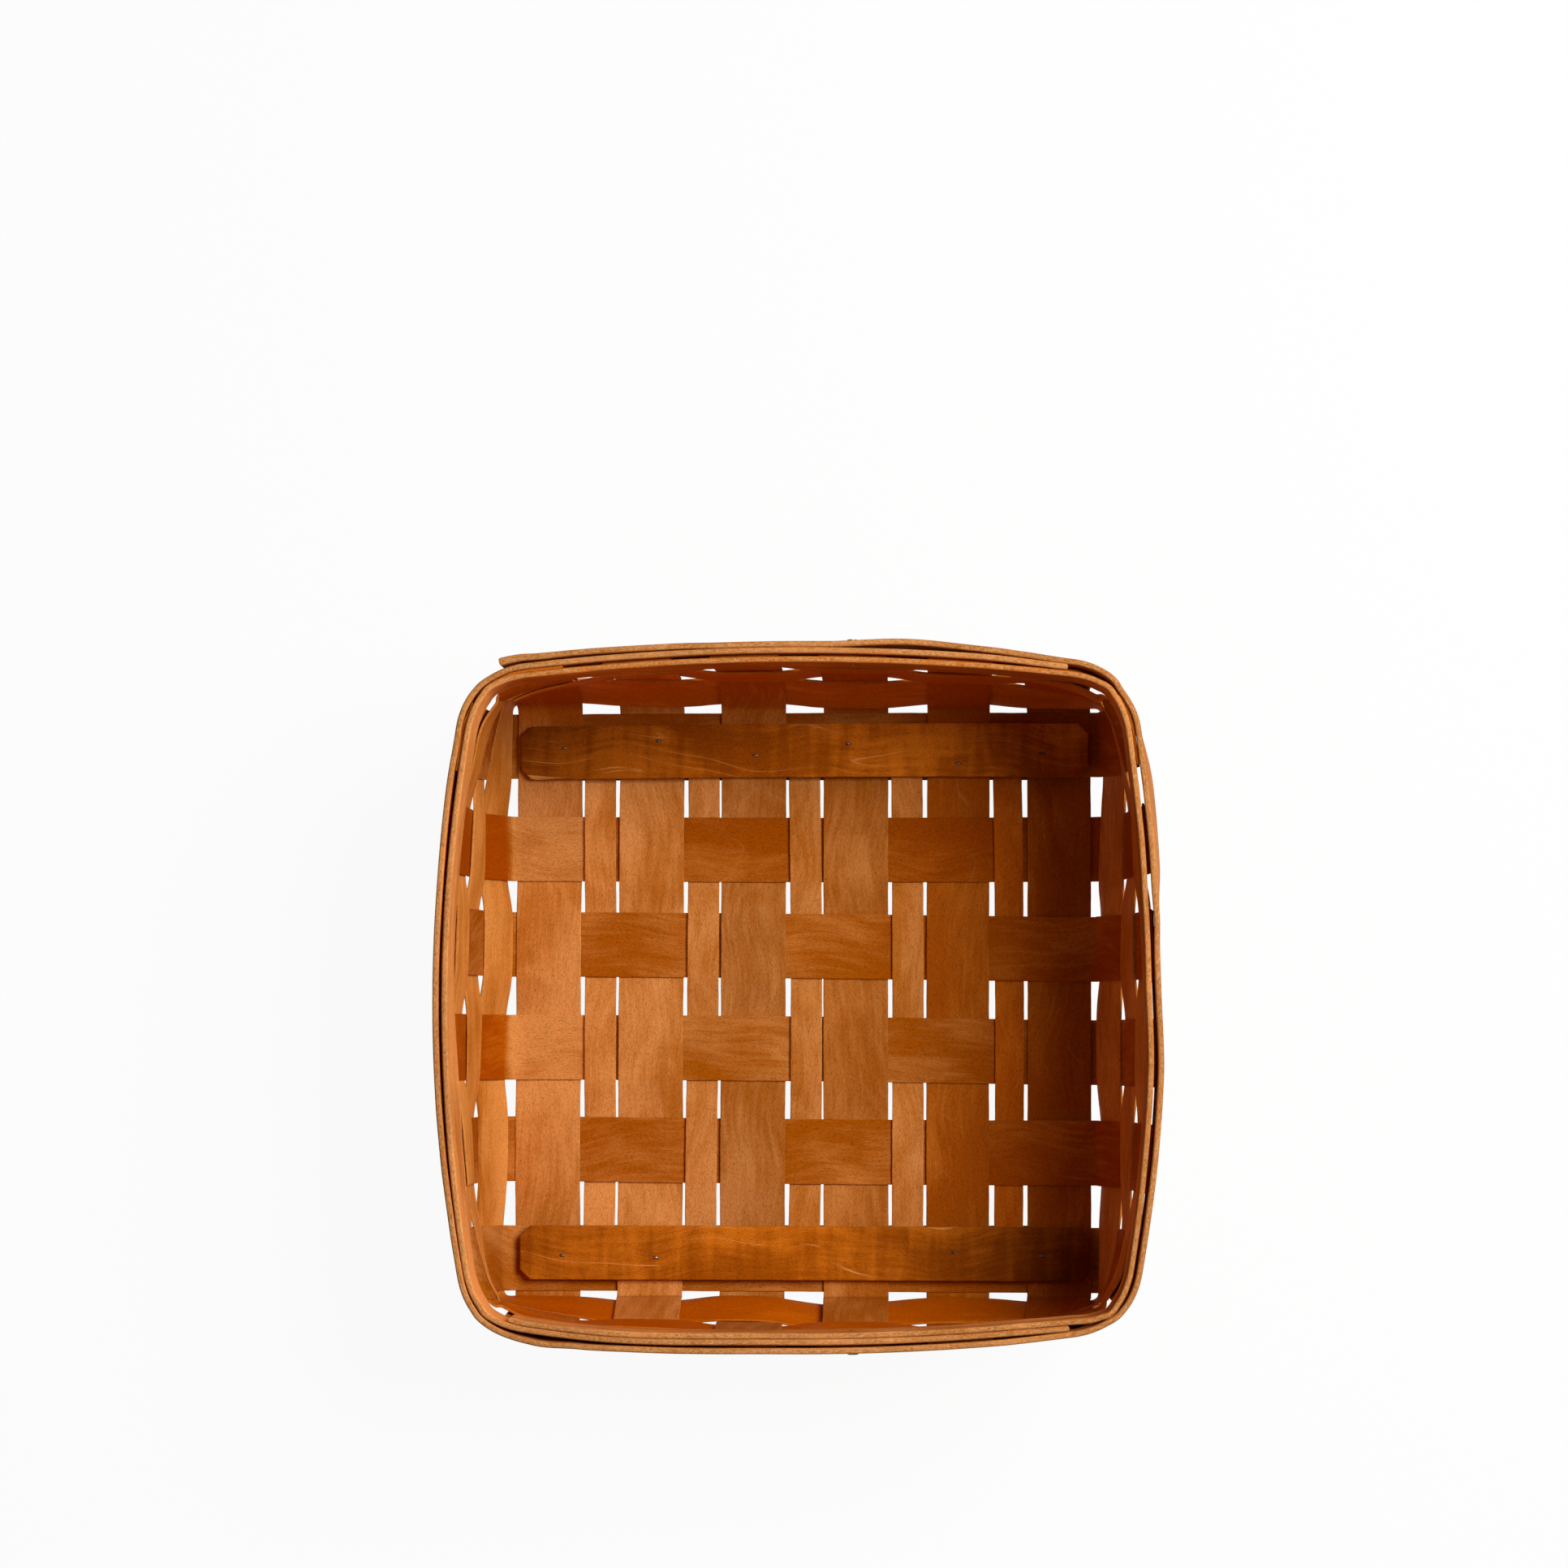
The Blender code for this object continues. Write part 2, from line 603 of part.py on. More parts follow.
for side, middle in zip(("near", "far"), cleat_middles(crosswise)):
    pieces[f"{side}_cleat"] = board(f"{side}_cleat", middle, CLEAT_BOTTOM, CLEAT_THICKNESS, cleat_wood)
    pieces[f"{side}_runner"] = board(f"{side}_runner", middle, RUNNER_BOTTOM, RUNNER_THICKNESS, cleat_wood)
places = nail_places(crosswise, lengthwise)
for i, place in enumerate(places):
    name = f"{'near' if i < STAKES_PER_WAY else 'far'}_nail_{i % STAKES_PER_WAY + 1}"
    mesh = turned(name, nail_profile(0))
    mesh.transform(Matrix.Translation(place))
    pieces[name] = add_object(name, mesh, steel)

nail_holes = cutter("nail_holes", nail_profile(CLEARANCE), [Matrix.Translation(place) for place in places])
nailed = [f"lengthwise_stake_{i + 1}" for i in range(STAKES_PER_WAY)]
nailed += ["crosswise_stake_1", f"crosswise_stake_{STAKES_PER_WAY}"]
nailed += ["near_cleat", "far_cleat", "near_runner", "far_runner"]
for name in nailed:
    cut(pieces[name], nail_holes)
tack_holes = cutter("tack_holes", tack_hole_profile(), tack_matrices)
for name in ("inner_hoop", "outer_hoop", f"lengthwise_stake_{TACK_STAKE + 1}"):
    cut(pieces[name], tack_holes)

spans = [
    [corner[axis] for piece in pieces.values() for corner in (v.co for v in piece.data.vertices)]
    for axis in (0, 1)
]
basket.location = [-(min(span) + max(span)) / 2 for span in spans] + [-RUNNER_BOTTOM]
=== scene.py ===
"""The look of the square splint basket: every splint, hoop, cleat and nail built finely over its solid.

Metres, +Z up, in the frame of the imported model. Heights in the code count from the middle of the
base, as in the part's own source, until a piece is put in place. Places round the basket are turns,
which count the uprights: 0 to 5 are the right wall's from its near end, and the far, the left and
the near wall's follow. From 24 on the same places come again.
"""

import math

import bmesh
import bpy
import numpy as np
from mathutils import Matrix, Vector


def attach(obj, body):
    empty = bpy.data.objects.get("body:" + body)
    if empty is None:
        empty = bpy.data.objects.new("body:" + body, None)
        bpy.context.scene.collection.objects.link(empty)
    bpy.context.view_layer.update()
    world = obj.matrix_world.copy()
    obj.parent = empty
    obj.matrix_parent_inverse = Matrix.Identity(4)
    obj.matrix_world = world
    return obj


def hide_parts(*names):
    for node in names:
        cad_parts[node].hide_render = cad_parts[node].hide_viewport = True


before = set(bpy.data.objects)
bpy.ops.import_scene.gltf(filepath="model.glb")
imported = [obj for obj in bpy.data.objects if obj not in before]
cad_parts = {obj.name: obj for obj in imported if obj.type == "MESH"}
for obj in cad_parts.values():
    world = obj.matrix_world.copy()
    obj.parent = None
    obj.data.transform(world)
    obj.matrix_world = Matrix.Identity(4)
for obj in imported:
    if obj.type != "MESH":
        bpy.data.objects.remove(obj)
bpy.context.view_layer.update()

# Sizes of the basket, the same as in the part's source
SPLINT_WIDTH = 0.0254
SPLINT_THICKNESS = 0.0010
CLEARANCE = 0.0003
WEAVE_GAP = 0.0146
STAKES_PER_WAY = 6
LENGTHWISE_DRIFT_SHARES = (0.0125, 0.0, 0.0, 0.0, 0.005, -0.0125)
CROSSWISE_DRIFT_SHARES = (0.0, 0.0625, 0.0625, 0.0625, 0.0, 0.0)
BAND_NAMES = ("lower_band", "middle_band", "upper_band")
BAND_LAP_STAKES = (21, 11, 16)
BAND_LAP_INSET = 0.0010
FIRST_BAND_RISE = 0.0030
BAND_GAP = 0.0024
FOLD_MARGIN = 0.0012
FOLD_STEP_SHARES = (0.0, 0.3, 0.6, 0.85)
BELLY = 0.0135
BELLY_RISE = 0.0175
SIDE_FLARE = 0.0163
END_FLARE = 0.0116
CORNER_TUCK = 0.0085
CORNER_TUCK_POWER = 6
HOOP_WIDTH = 0.0254
RIM_GAP = 0.0025
RIM_STEP = 0.0016
SIDE_BOW = 0.0135
END_BOW = 0.0098
RIM_CORNER_RADIUS = 0.0263
CLEAT_WIDTH = 0.0210
CLEAT_THICKNESS = 0.0030
CLEAT_CHAMFER = 0.0040
CLEAT_END_INSET = 0.0019
CLEAT_INSET = 0.0024
RUNNER_THICKNESS = 0.0045
NAIL_RADIUS = 0.0007
NAIL_HEAD_RADIUS = 0.0016
NAIL_HEAD_THICKNESS = 0.0008
NAIL_RECESS = 0.0002
FAR_NAIL_SHARES = ((0.22, 0.08), (0.11, 0.21), (0.04, -0.06), (-0.12, 0.15), (0.0, -0.22), (-0.26, -0.03))
NEAR_NAIL_SHARES = ((0.21, -0.04), (0.08, -0.08), (0.05, 0.15), (-0.1, -0.12), (-0.08, 0.02), (-0.3, -0.04))

# Sizes that follow the photo more closely than the part's source does
FILLER_PLAY = 0.00112
BASE_CORNER_RADIUS = 0.0030
TUCK_END_SHARE = 0.93
TUCK_SHARPNESS = 1.3
HOOP_THICKNESS = 0.0022
HOOP_TRIM = 0.00006
HOOP_PLAY = 0.00008
STAKE_SETBACKS = (0.0012, 0.0062, 0.0054, 0.0070, 0.0058, 0.0066)
INNER_TIP_INSET = 0.0050
INNER_EASING = 0.5
OUTER_TIP_INSET = 0.0041
OUTER_EASING = 0.8
FREE_END_LIFT = 0.0008
FREE_END_KICK = 0.0006
FREE_END_KICK_REACH = 0.011
FREE_END_SWELL = 0.0009
SWELL_REACH = 0.03
HOOP_END_ROUNDING = 0.0010
SPLINT_ROUNDING = 0.00025
HOOP_ROUNDING = 0.0005
BOARD_ROUNDING = 0.00035

# Worked out from the sizes above
PITCH = SPLINT_WIDTH + WEAVE_GAP
OUTERMOST = (STAKES_PER_WAY - 1) / 2 * PITCH
FILLER_WIDTH = WEAVE_GAP - 2 * FILLER_PLAY
WEAVE_LIFT = SPLINT_THICKNESS + CLEARANCE
STAKES_END = OUTERMOST + SPLINT_WIDTH / 2
FOLD_HALF = STAKES_END + FOLD_MARGIN
WEAVE_HEIGHT = FIRST_BAND_RISE + len(BAND_NAMES) * (SPLINT_WIDTH + BAND_GAP)
FIRST_HOOP_OFFSET = SPLINT_THICKNESS / 2 + HOOP_PLAY + HOOP_THICKNESS / 2
SECOND_HOOP_OFFSET = FIRST_HOOP_OFFSET + HOOP_THICKNESS + HOOP_PLAY
CLEAT_BOTTOM = WEAVE_LIFT + SPLINT_THICKNESS / 2 + CLEARANCE
CLEAT_TOP = CLEAT_BOTTOM + CLEAT_THICKNESS
RUNNER_BOTTOM = -CLEAT_BOTTOM - RUNNER_THICKNESS
NAIL_BOTTOM = RUNNER_BOTTOM + NAIL_RECESS
NAIL_SHOULDER = NAIL_BOTTOM + NAIL_HEAD_THICKNESS

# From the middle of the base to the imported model's own frame
PLAN_SHIFT = -0.001509
IN_PLACE = np.array((0.0, PLAN_SHIFT, -RUNNER_BOTTOM))

# The walls in order round the basket, each with its way out and the way its places are counted
RIGHT, FAR, LEFT, NEAR = range(4)
OUTWARD = (Vector((1, 0, 0)), Vector((0, 1, 0)), Vector((-1, 0, 0)), Vector((0, -1, 0)))
ALONG = OUTWARD[1:] + OUTWARD[:1]
UP = Vector((0, 0, 1))
HALF_STAKE = SPLINT_WIDTH / 2 / PITCH
STAKES = 4 * STAKES_PER_WAY

# How far each straight strip lies aside at its low end, its middle and its high end, and its share of
# the full width
LENGTHWISE_SLIPS = (
    (-0.0008, -0.0008, -0.00015), (-0.0004, -0.00013, 0.00025), (-0.00055, -0.00012, 0.00015),
    (0.0, -0.00006, 0.00015), (-0.00065, -0.00045, 0.0001), (-0.0005, -0.0001, 0.0),
)
CROSSWISE_SLIPS = (
    (0.0003, 0.0, -0.0004), (0.00035, -0.00075, -0.00125), (-0.0001, -0.00075, -0.0022),
    (0.0001, -0.00065, -0.00195), (0.0, -0.0005, -0.0004), (0.0003, 0.0006, 0.0005),
)
FILLER_SLIPS = (
    (-0.0005, -0.00016, -0.00045), (-0.00085, 0.00015, 0.00065), (-0.0004, 0.0007, -0.00035),
    (-0.0002, 0.00025, -0.00015), (-0.00075, 0.00012, -0.0007),
)
CLEAT_SLIPS = {"near": (0.0002, 0.0, -0.0003), "far": (-0.0002, 0.0007, 0.0006)}
LENGTHWISE_WIDTH_SHARES = (1.0, 1.0, 1.0, 1.0, 0.966, 0.98)
FILLER_WIDTH_SHARES = (1.0, 1.0, 1.0, 1.0, 0.92)

# How far the outermost stakes lean aside up their two walls
LENGTHWISE_LEANS = {0: (0.003, 0.0), 5: (-0.0027, -0.0024)}
CROSSWISE_LEANS = {0: (0.0016, 0.001), 5: (-0.0034, -0.0013)}
UPRIGHT = (0.0, 0.0)
LEAN_REACH = 0.03

# How far out each wall's foot stands: places along the wall, and the shifts there. Their share at each
# height, and how far from the base's middle a wall's own shifts begin and are full
FOOT_SHIFTS = (
    ((-0.11, -0.075, -0.035, 0.005, 0.045, 0.08), (-0.0012, -0.0015, -0.0026, -0.0026, -0.0012, 0.0012)),
    ((-0.08, -0.04, 0.0, 0.04, 0.08), (-0.0006, -0.0003, 0.0, 0.0004, 0.0018)),
    ((-0.08, -0.045, -0.005, 0.035, 0.075, 0.11), (-0.0003, -0.0009, -0.0006, 0.0013, 0.0022, 0.003)),
    ((-0.08, -0.04, 0.0, 0.04, 0.08), (-0.001, -0.0016, -0.001, -0.0005, 0.0)),
)
FOOT_BY_HEIGHT = ((0.0015, 0.0), (0.005, 1.0), (0.03, 0.8), (0.07, 0.0))
WALL_REACH = (0.100, 0.112)

# The share of the weave's swing that each band takes on the right, far, left and near wall, how much
# less it is near the corners, and where it eases off
BAND_SWINGS = ((0.15, 0.55, 0.9, 0.5), (0.6, 0.8, 0.9, 0.7), (0.45, 0.9, 0.9, 0.8))
CORNER_GIVE = 0.6
CORNER_GIVE_STAKES = 1.5
SWING_FOOT = 0.0015
BAND_EDGE_EASE = 0.0015
WEAVE_SOFTENING = (-0.08, -0.04, 0.0, 0.04, 0.08)

# How far out of its plan the rim stands at each turn: both hoops with the stakes' tops
RIM_SHIFTS = ((1.7, 0.0), (2.65, -0.0013), (3.3, -0.0013), (4.14, -0.0007), (4.5, -0.00045), (5, 0.0))
RIM_SHIFT_HEIGHTS = (0.070, 0.100)

# How far the right wall bulges out below the hoops, at each turn and by height
BULGE_SHIFTS = ((0, 0.0), (1.6, 0.0003), (2.6, 0.0012), (3.4, 0.0017), (4.4, 0.0016), (5.3, 0.0))
BULGE_BY_HEIGHT = ((0.056, 0.0), (0.084, 1.0), (0.112, 0.0))

# How far out each hoop stands by itself: the outer one in millimetres, from its start to its end
INNER_SHIFTS = ((22.4, 0.0), (23.15, 0.0004), (23.5, 0.0))
OUTER_SHIFTS = (
    (11.1, 0), (11.6, 0.6), (12.1, 0), (12.5, 0.3), (13.5, 0), (14.5, 0), (15.5, -0.1), (16, -0.3),
    (16.6, -0.7), (17, -0.9), (17.45, 0.5), (17.85, 0.1), (18.15, 0.9), (18.5, 0.1), (19, -0.3), (20, -0.1),
    (22.3, -0.2), (23.1, -0.7), (23.6, 0.3), (24, -0.1), (25.1, 0.4), (25.7, 0.4), (26.4, 0.15), (26.9, 0.1),
    (27.17, 0.45), (27.6, 0.1), (28.14, 0.1), (28.45, 0), (28.8, 0), (29.2, 0.3), (29.5, 1.1), (30, -0.2),
    (30.4, 0.2), (30.75, 0.5), (31.4, 0.45), (32.2, 0), (33.2, 0), (33.7, 0.4), (34.6, 0.75), (35, 0.35),
    (35.2, -0.2),
)
MILLIMETRES_IN_METRE = 1000

# How far the outer hoop's foot stands out beyond its top at each turn
OUTER_LEAN = ((2.6, 0.0), (3.2, 0.0014), (3.75, 0.0028), (4.5, 0.0033), (5.3, 0.0))

# Smooth humps of the hoops: how high they are, and between which turns they rise and fall. The one that
# closes each corner counts from the last stake before it
NEAR_BULGE = (0.0018, 16.9, 20.4)
CORNER_PRESS = (0.0009, 4.9, 6.9)
CORNER_CLOSING = (0.0012, 0.05, 0.95)
HOOP_PARTING = (0.0012, 7 - HALF_STAKE, 8 + HALF_STAKE)
INNER_TWIST = (0.0014, 14.2, 16.8)
FAR_RIGHT_TWIST = (0.0017, 29.0, 30.05)
NEAR_RIGHT_TWIST = (0.0012, 22.6, 24.2)
NEAR_LEFT_TWIST = (0.0010, 17.4, 18.8)

# A nail's tip above the cleat, bent over along it, or below the cleat's top where it doesn't show
CLINCH = (
    (0.0, -0.0010, 1.0), (0.0001, -0.0004, 1.0), (0.0006, 0.0, 0.9), (0.0012, 0.00005, 0.8),
    (0.0018, -0.0001, 0.5), (0.0021, -0.0002, 0.2),
)
CLINCH_START = 0.0009
HIDDEN_TIP = ((0.0020, 1.0), (0.0012, 0.7), (0.0004, 0.2))
HIDDEN_TIPS = ("near_nail_3", "near_nail_4")
NAIL_SIDES = 14

# How finely and how smoothly the pieces are made
ROW_STEP = 0.0016
RING_STEP = 0.025
SETTLING_ROUNDS = 12
SOFTEN_ROUNDS = 6
BAND_SOFTEN_ROUNDS = 16
SIDE_COLUMN_SHARES = (0.0, 0.3, 1.0, 2.6)
MIDDLE_COLUMNS = 3
END_ROW_SHARES = (0.06, 0.18, 0.4)
CHAMFER_ROW_SHARES = (0, 0.04, 0.12, 0.3, 0.55, 0.8, 0.94)
SHARP_ANGLE = math.radians(50)
TINY = 1e-12

# The unevenness of a strip's edges, ends and grain: how far they stray, and in waves of what length.
# A ripple is three waves, each with its height, pace and start
RIPPLES = ((1.0, 1.0, 1.7), (0.6, 1.93, 4.1), (0.4, 3.37, 2.9))
SPLINT_WOBBLE = 0.00005
RING_WOBBLE = 0.0001
CLEAT_WOBBLE = 0.00006
WOBBLE_POWER = 4
LOW_EDGE_WAVE, HIGH_EDGE_WAVE = 0.021, 0.017
HIGH_EDGE_SEED = 3.3
RAGGED_TIP = 0.0008
TOOTH_WAVE, TOOTH_GROUP_WAVE = 0.0031, 0.0107
GRAIN_SWIRL = 0.004
GRAIN_SWIRL_WAVE = 0.13
SWIRL_SEED = 0.7
GRAIN_APART = 3

# Each strip's own seed, and how much lighter and how much deeper in colour it is than its kind
LENGTHWISE_SEED, CROSSWISE_SEED, FILLER_SEED, BAND_SEED = 1, 11, 21, 31
INNER_HOOP_SEED, OUTER_HOOP_SEED = 41, 43
CLEAT_SEEDS = {"near": 51, "far": 53}
# Lengthwise stakes 5 and 6 lie in the right wall's shadow; their darker, deeper tone is partly painted shade
LENGTHWISE_LOOKS = ((0.08, -0.4), (0.05, -0.15), (-0.16, 0.3), (-0.13, 0.5), (-0.1, 1.05), (-0.12, 1.15))
# Crosswise stake 5 is darker and deeper partly as painted shade from the far wall
CROSSWISE_LOOKS = ((0.0, 0.3), (0.0, 0.6), (0.0, 0.4), (0.0, 0.6), (-0.1, 0.85), (-0.1, 0.6))
# Filler 5 lies in the right wall's shadow; its deeper tone is partly painted shade
FILLER_LOOKS = ((0.12, -0.3), (0.03, 0.0), (0.0, 0.2), (0.12, 0.2), (0.18, 1.1))

# The same for a stretch of a strip: the axis it lies along, then places there with both amounts
# Painted shade: the crosswise stakes deeper in colour from the base's middle to the right wall, in that
# wall's shadow, and a little lighter at the wall
DEEP_RIGHT = (0, (0.02, 0.0, 0.0), (0.07, 0.0, 0.4), (0.11, 0.1, 0.4))
# Painted light and shade: lighter and deeper in colour up the far wall, standing in for how its shaded inner
# face looks
DEEP_FAR = (1, (0.104, 0.0, 0.0), (0.122, 0.35, 0.9))
# Deeper in colour, and a little lighter, up the near wall
DEEP_NEAR = (1, (-0.12, 0.08, 1.7), (-0.105, 0.0, 0.2))
# Painted light: the bands lighter and less deep in colour up the right wall
DEEP_BAND_RIGHT = (0, (0.1, 0.0, 0.0), (0.115, 0.2, -0.2))
# Painted shade: the inner hoop deeper in colour, and a little lighter, along the right side, in shade inside
# the rim
DEEP_HOOP_RIGHT = (0, (0.11, 0.0, 0.0), (0.125, 0.1, 0.3))
# Painted light: the bands lighter and paler up the left wall, whose inner face the key light strikes
PALE_LEFT = (0, (-0.131, 0.28, -0.6), (-0.124, 0.08, -0.5), (-0.1, 0.0, 0.0))
# Painted light: the inner hoop lighter and paler along the left side, which faces the key light
PALE_HOOP_LEFT = (0, (-0.12, 0.25, -0.6), (-0.1, 0.0, 0.0))
# Painted light: the inner hoop lighter along the near side, which faces the key light
PALE_HOOP_NEAR = (1, (-0.12, 0.15, 0.0), (-0.1, 0.0, 0.0))
# Painted light: the outer hoop lighter and paler along the left side, where the rim is lit
PALE_OUTER_LEFT = (0, (-0.12, 0.15, -0.2), (-0.1, 0.0, 0.0))
# Painted sheen: the left ends of crosswise stakes 3 and 5 lighter and paler over the base, and deeper in
# colour at the fold
PALE_END = (0, (-0.1175, 0.1, 0.9), (-0.1145, 0.16, -1.6), (-0.088, 0.16, -1.6), (-0.075, 0.0, 0.0))
PALE_ENDED = (2, 4)
# Painted shade: lengthwise stake 1 darker and deeper in colour towards both ends, up the near and far walls
PAINTED_SHADE_ENDS = (1, (-0.115, -0.12, 1.0), (-0.06, 0.0, 0.0), (0.05, 0.0, 0.0), (0.11, -0.24, 0.9))
# Partly the cleats' own stain and partly painted shade: lighter in the middle, darkest at the near cleat's
# right end, in the right wall's shadow, and at the far cleat's left end, in the far wall's shade
CLEAT_PATCHES = {
    "near": (0, (-0.1, -0.18, 0.1), (0.0, 0.15, 0.0), (0.1, -0.5, 0.5)),
    "far": (0, (-0.1, -0.46, 0.4), (0.0, 0.25, 0.2), (0.1, 0.1, 0.5)),
}

# The kinds of stained wood: their colours, and what sets one apart from the next
WOODS = {
    "lengthwise": {"pale": (0.67, 0.265, 0.07), "deep": (0.44, 0.125, 0.01), "worn": (0.7, 0.32, 0.1)},
    "crosswise": {"pale": (0.6, 0.235, 0.058), "deep": (0.38, 0.095, 0.001), "worn": (0.6, 0.25, 0.06)},
    "band": {
        "pale": (0.72, 0.28, 0.06), "deep": (0.48, 0.14, 0.008), "worn": (0.6, 0.25, 0.06), "curl": 0.05,
    },
    "hoop": {
        "pale": (0.8, 0.31, 0.085), "deep": (0.42, 0.13, 0.02), "worn": (0.8, 0.4, 0.16),
        "roughness": 0.55, "fray": 0.75,
    },
    "cleat": {
        "pale": (0.6, 0.165, 0.008), "deep": (0.3, 0.065, 0.001), "worn": (0.9, 0.42, 0.13),
        "curl": 0.8, "roughness": 0.45, "scratched": 0.55, "figured": (3, 42, 6), "rounds": 8.0,
    },
}

# Noise in the wood: features to the metre along, across and through it, then detail, roughness, distortion
CLOUDS = ((17, 38, 90), 3, 0.55)
STREAKS = ((60, 700, 500), 2, 0.6)
WAVES = ((170, 26, 60), 2, 0.5, 0.4)
PORES = ((850, 2900, 1500), 1, 0.5)
DUST = ((1300, 3100, 2600), 2, 0.7)
FIBRES = ((700, 1900, 1900), 3, 0.75)
TUFTS = ((110, 500, 500), 2, 0.6)
BREAKS = ((45, 70, 60), 2)
FIGURE_NOISE = (1, 0.3, 0.5)
TARNISH = ((700, 700, 700), 3, 0.6)

# How the noise is used: the range of it that counts, and how strongly each pattern shows
CLOUD_SHARE, STREAK_SHARE, RING_SHARE = 1.3, 0.5, 0.08
STAIN_LOW, STAIN_HIGH = 0.46, 1.42
RING_HALF = 0.5
HAIRLINE = 0.03
BREAK_RANGE = (0.46, 0.62)
# How deep the warm share of a tone makes the colour; that share is partly each strip's own stain and partly
# painted light and shade
WARM_DEPTH = 0.3
RICHEST_WARMTH = 1.5
PLAIN_TINT, RICH_TINT = (1.0, 1.0, 1.0), (1.0, 0.68, 0.04)
PORE_RANGE = (0.5, 0.72)
PORE_LEVELS = (1.05, 0.76)
DUST_RANGE = (0.25, 0.75)
DUST_LEVELS = (0.84, 1.17)
FIBRE_RANGE = (0.36, 0.64)
TUFT_RANGE = (0.35, 0.6)
THIN_TUFT_SHARE = 0.5
GLOSS_RANGE = (0.3, 0.7)
GLOSS_BELOW, GLOSS_ABOVE = 0.06, 0.08
EDGE_DULLNESS = 0.3
WOOD_SPECULAR = 0.012
DUST_RELIEF, FIBRE_RELIEF = 0.8, 3.0
WOOD_BUMP = (0.5, 0.00012)
STEEL_BRIGHT, STEEL_DARK = (0.4, 0.36, 0.3), (0.12, 0.08, 0.05)
TARNISH_RANGE = (0.35, 0.65)
STEEL_ROUGHNESS = (0.38, 0.62)
STEEL_BUMP = (0.4, 0.0001)

# Floor, light and camera
FLOOR_SIZE = 6.0
FLOOR_COLOUR = (0.85, 0.85, 0.85)
FLOOR_ROUGHNESS = 0.9
FLOOR_WHITE_SHARE = 0.94
WHITE = (1.0, 1.0, 1.0, 1.0)
KEY_WAY = Vector((0.51, 0.27, 0.815)).normalized()
KEY_DISTANCE = 1.6
KEY_SIZE = 0.9
KEY_POWER = 24.5
FILL = 0.125
CAMERA_PLACE = Vector((0.044, -0.0168, 1.833)) + Vector(IN_PLACE)
CAMERA_AIM = Vector((-0.0081, 0.0854, 0.0)) + Vector(IN_PLACE)
CAMERA_LENS = 107.6


class Outline:
    """The middle surface of the walls at one height: four bowed sides with round corners.

    The tuck is how far the corner stakes' outer edges are drawn in beyond the bow.
    """

    def __init__(self, height, half, bow, tuck, radius):
        self.height, self.half, self.bow, self.tuck, self.radius = height, half, bow, tuck, radius
        self.centre = [half[0] - radius, half[1] - radius]
        self.touch = list(self.centre)
        for _ in range(SETTLING_ROUNDS):
            for out, side in ((0, 1), (1, 0)):
                lean = self.side_lean(side, self.touch[side])
                self.touch[side] = self.centre[side] + radius * math.sin(lean)
                self.centre[out] = self.side_reach(side, self.touch[side]) - radius * math.cos(lean)

    def side_lean(self, side, along):
        bowed = 2 * self.bow[1 - side] * along / self.half[side] ** 2
        tucked = CORNER_TUCK_POWER * self.tuck * (along / STAKES_END) ** (CORNER_TUCK_POWER - 1) / STAKES_END
        return math.atan(bowed + tucked)

    def side_reach(self, side, along):
        bowed = self.bow[1 - side] * (along / self.half[side]) ** 2
        return self.half[1 - side] - bowed - self.tuck * (along / STAKES_END) ** CORNER_TUCK_POWER

    def lean_at(self, wall, along):
        side = (wall + 1) % 2
        if abs(along) <= self.touch[side]:
            return self.side_lean(side, along)
        return math.copysign(math.asin((abs(along) - self.centre[side]) / self.radius), along)

    def point(self, wall, along, reach, lean):
        place = OUTWARD[wall] * reach + ALONG[wall] * along + UP * self.height
        return place, OUTWARD[wall] * math.cos(lean) + ALONG[wall] * math.sin(lean)

    def on_wall(self, wall, along):
        """The point this far along a wall, and the way out from it."""
        side = (wall + 1) % 2
        lean = self.lean_at(wall, along)
        reach = self.side_reach(side, along)
        if abs(along) > self.touch[side]:
            reach = self.centre[1 - side] + self.radius * math.cos(lean)
        return self.point(wall, along, reach, lean)

    def in_corner(self, wall, last, first, share):
        """The point between the last place on a wall and the first on the next wall."""
        side = (wall + 1) % 2
        start = self.lean_at(wall, last)
        end = math.pi / 2 + self.lean_at((wall + 1) % 4, first)
        lean = start + (end - start) * share
        along = self.centre[side] + self.radius * math.sin(lean)
        reach = self.centre[1 - side] + self.radius * math.cos(lean)
        return self.point(wall, along, reach, lean)


def wall_half(height, flare):
    """Half the distance between opposite walls at their middle."""
    belly = BELLY * (1 - math.exp(-height / BELLY_RISE))
    return FOLD_HALF + belly + (flare - BELLY) * (height / WEAVE_HEIGHT) ** 2


def woven_outline(height):
    share = height / WEAVE_HEIGHT
    radius = BASE_CORNER_RADIUS + (RIM_CORNER_RADIUS - BASE_CORNER_RADIUS) * share
    half = (wall_half(height, SIDE_FLARE), wall_half(height, END_FLARE))
    bow = (SIDE_BOW * share**2, END_BOW * share**2)
    tuck = CORNER_TUCK * math.sin(math.pi * TUCK_END_SHARE * share) ** TUCK_SHARPNESS
    return Outline(height, half, bow, tuck, radius)


def rim_outline(height):
    half = (FOLD_HALF + SIDE_FLARE + RIM_STEP, FOLD_HALF + END_FLARE + RIM_STEP)
    return Outline(height, half, (SIDE_BOW, END_BOW), 0, RIM_CORNER_RADIUS)


def band_top(bottom):
    """The height of a band's upper edge, a splint's width up the sloping walls."""
    rise = SPLINT_WIDTH
    for _ in range(SETTLING_ROUNDS):
        run = sum(wall_half(bottom + rise, f) - wall_half(bottom, f) for f in (SIDE_FLARE, END_FLARE)) / 2
        rise = math.sqrt(SPLINT_WIDTH**2 - run**2)
    return bottom + rise


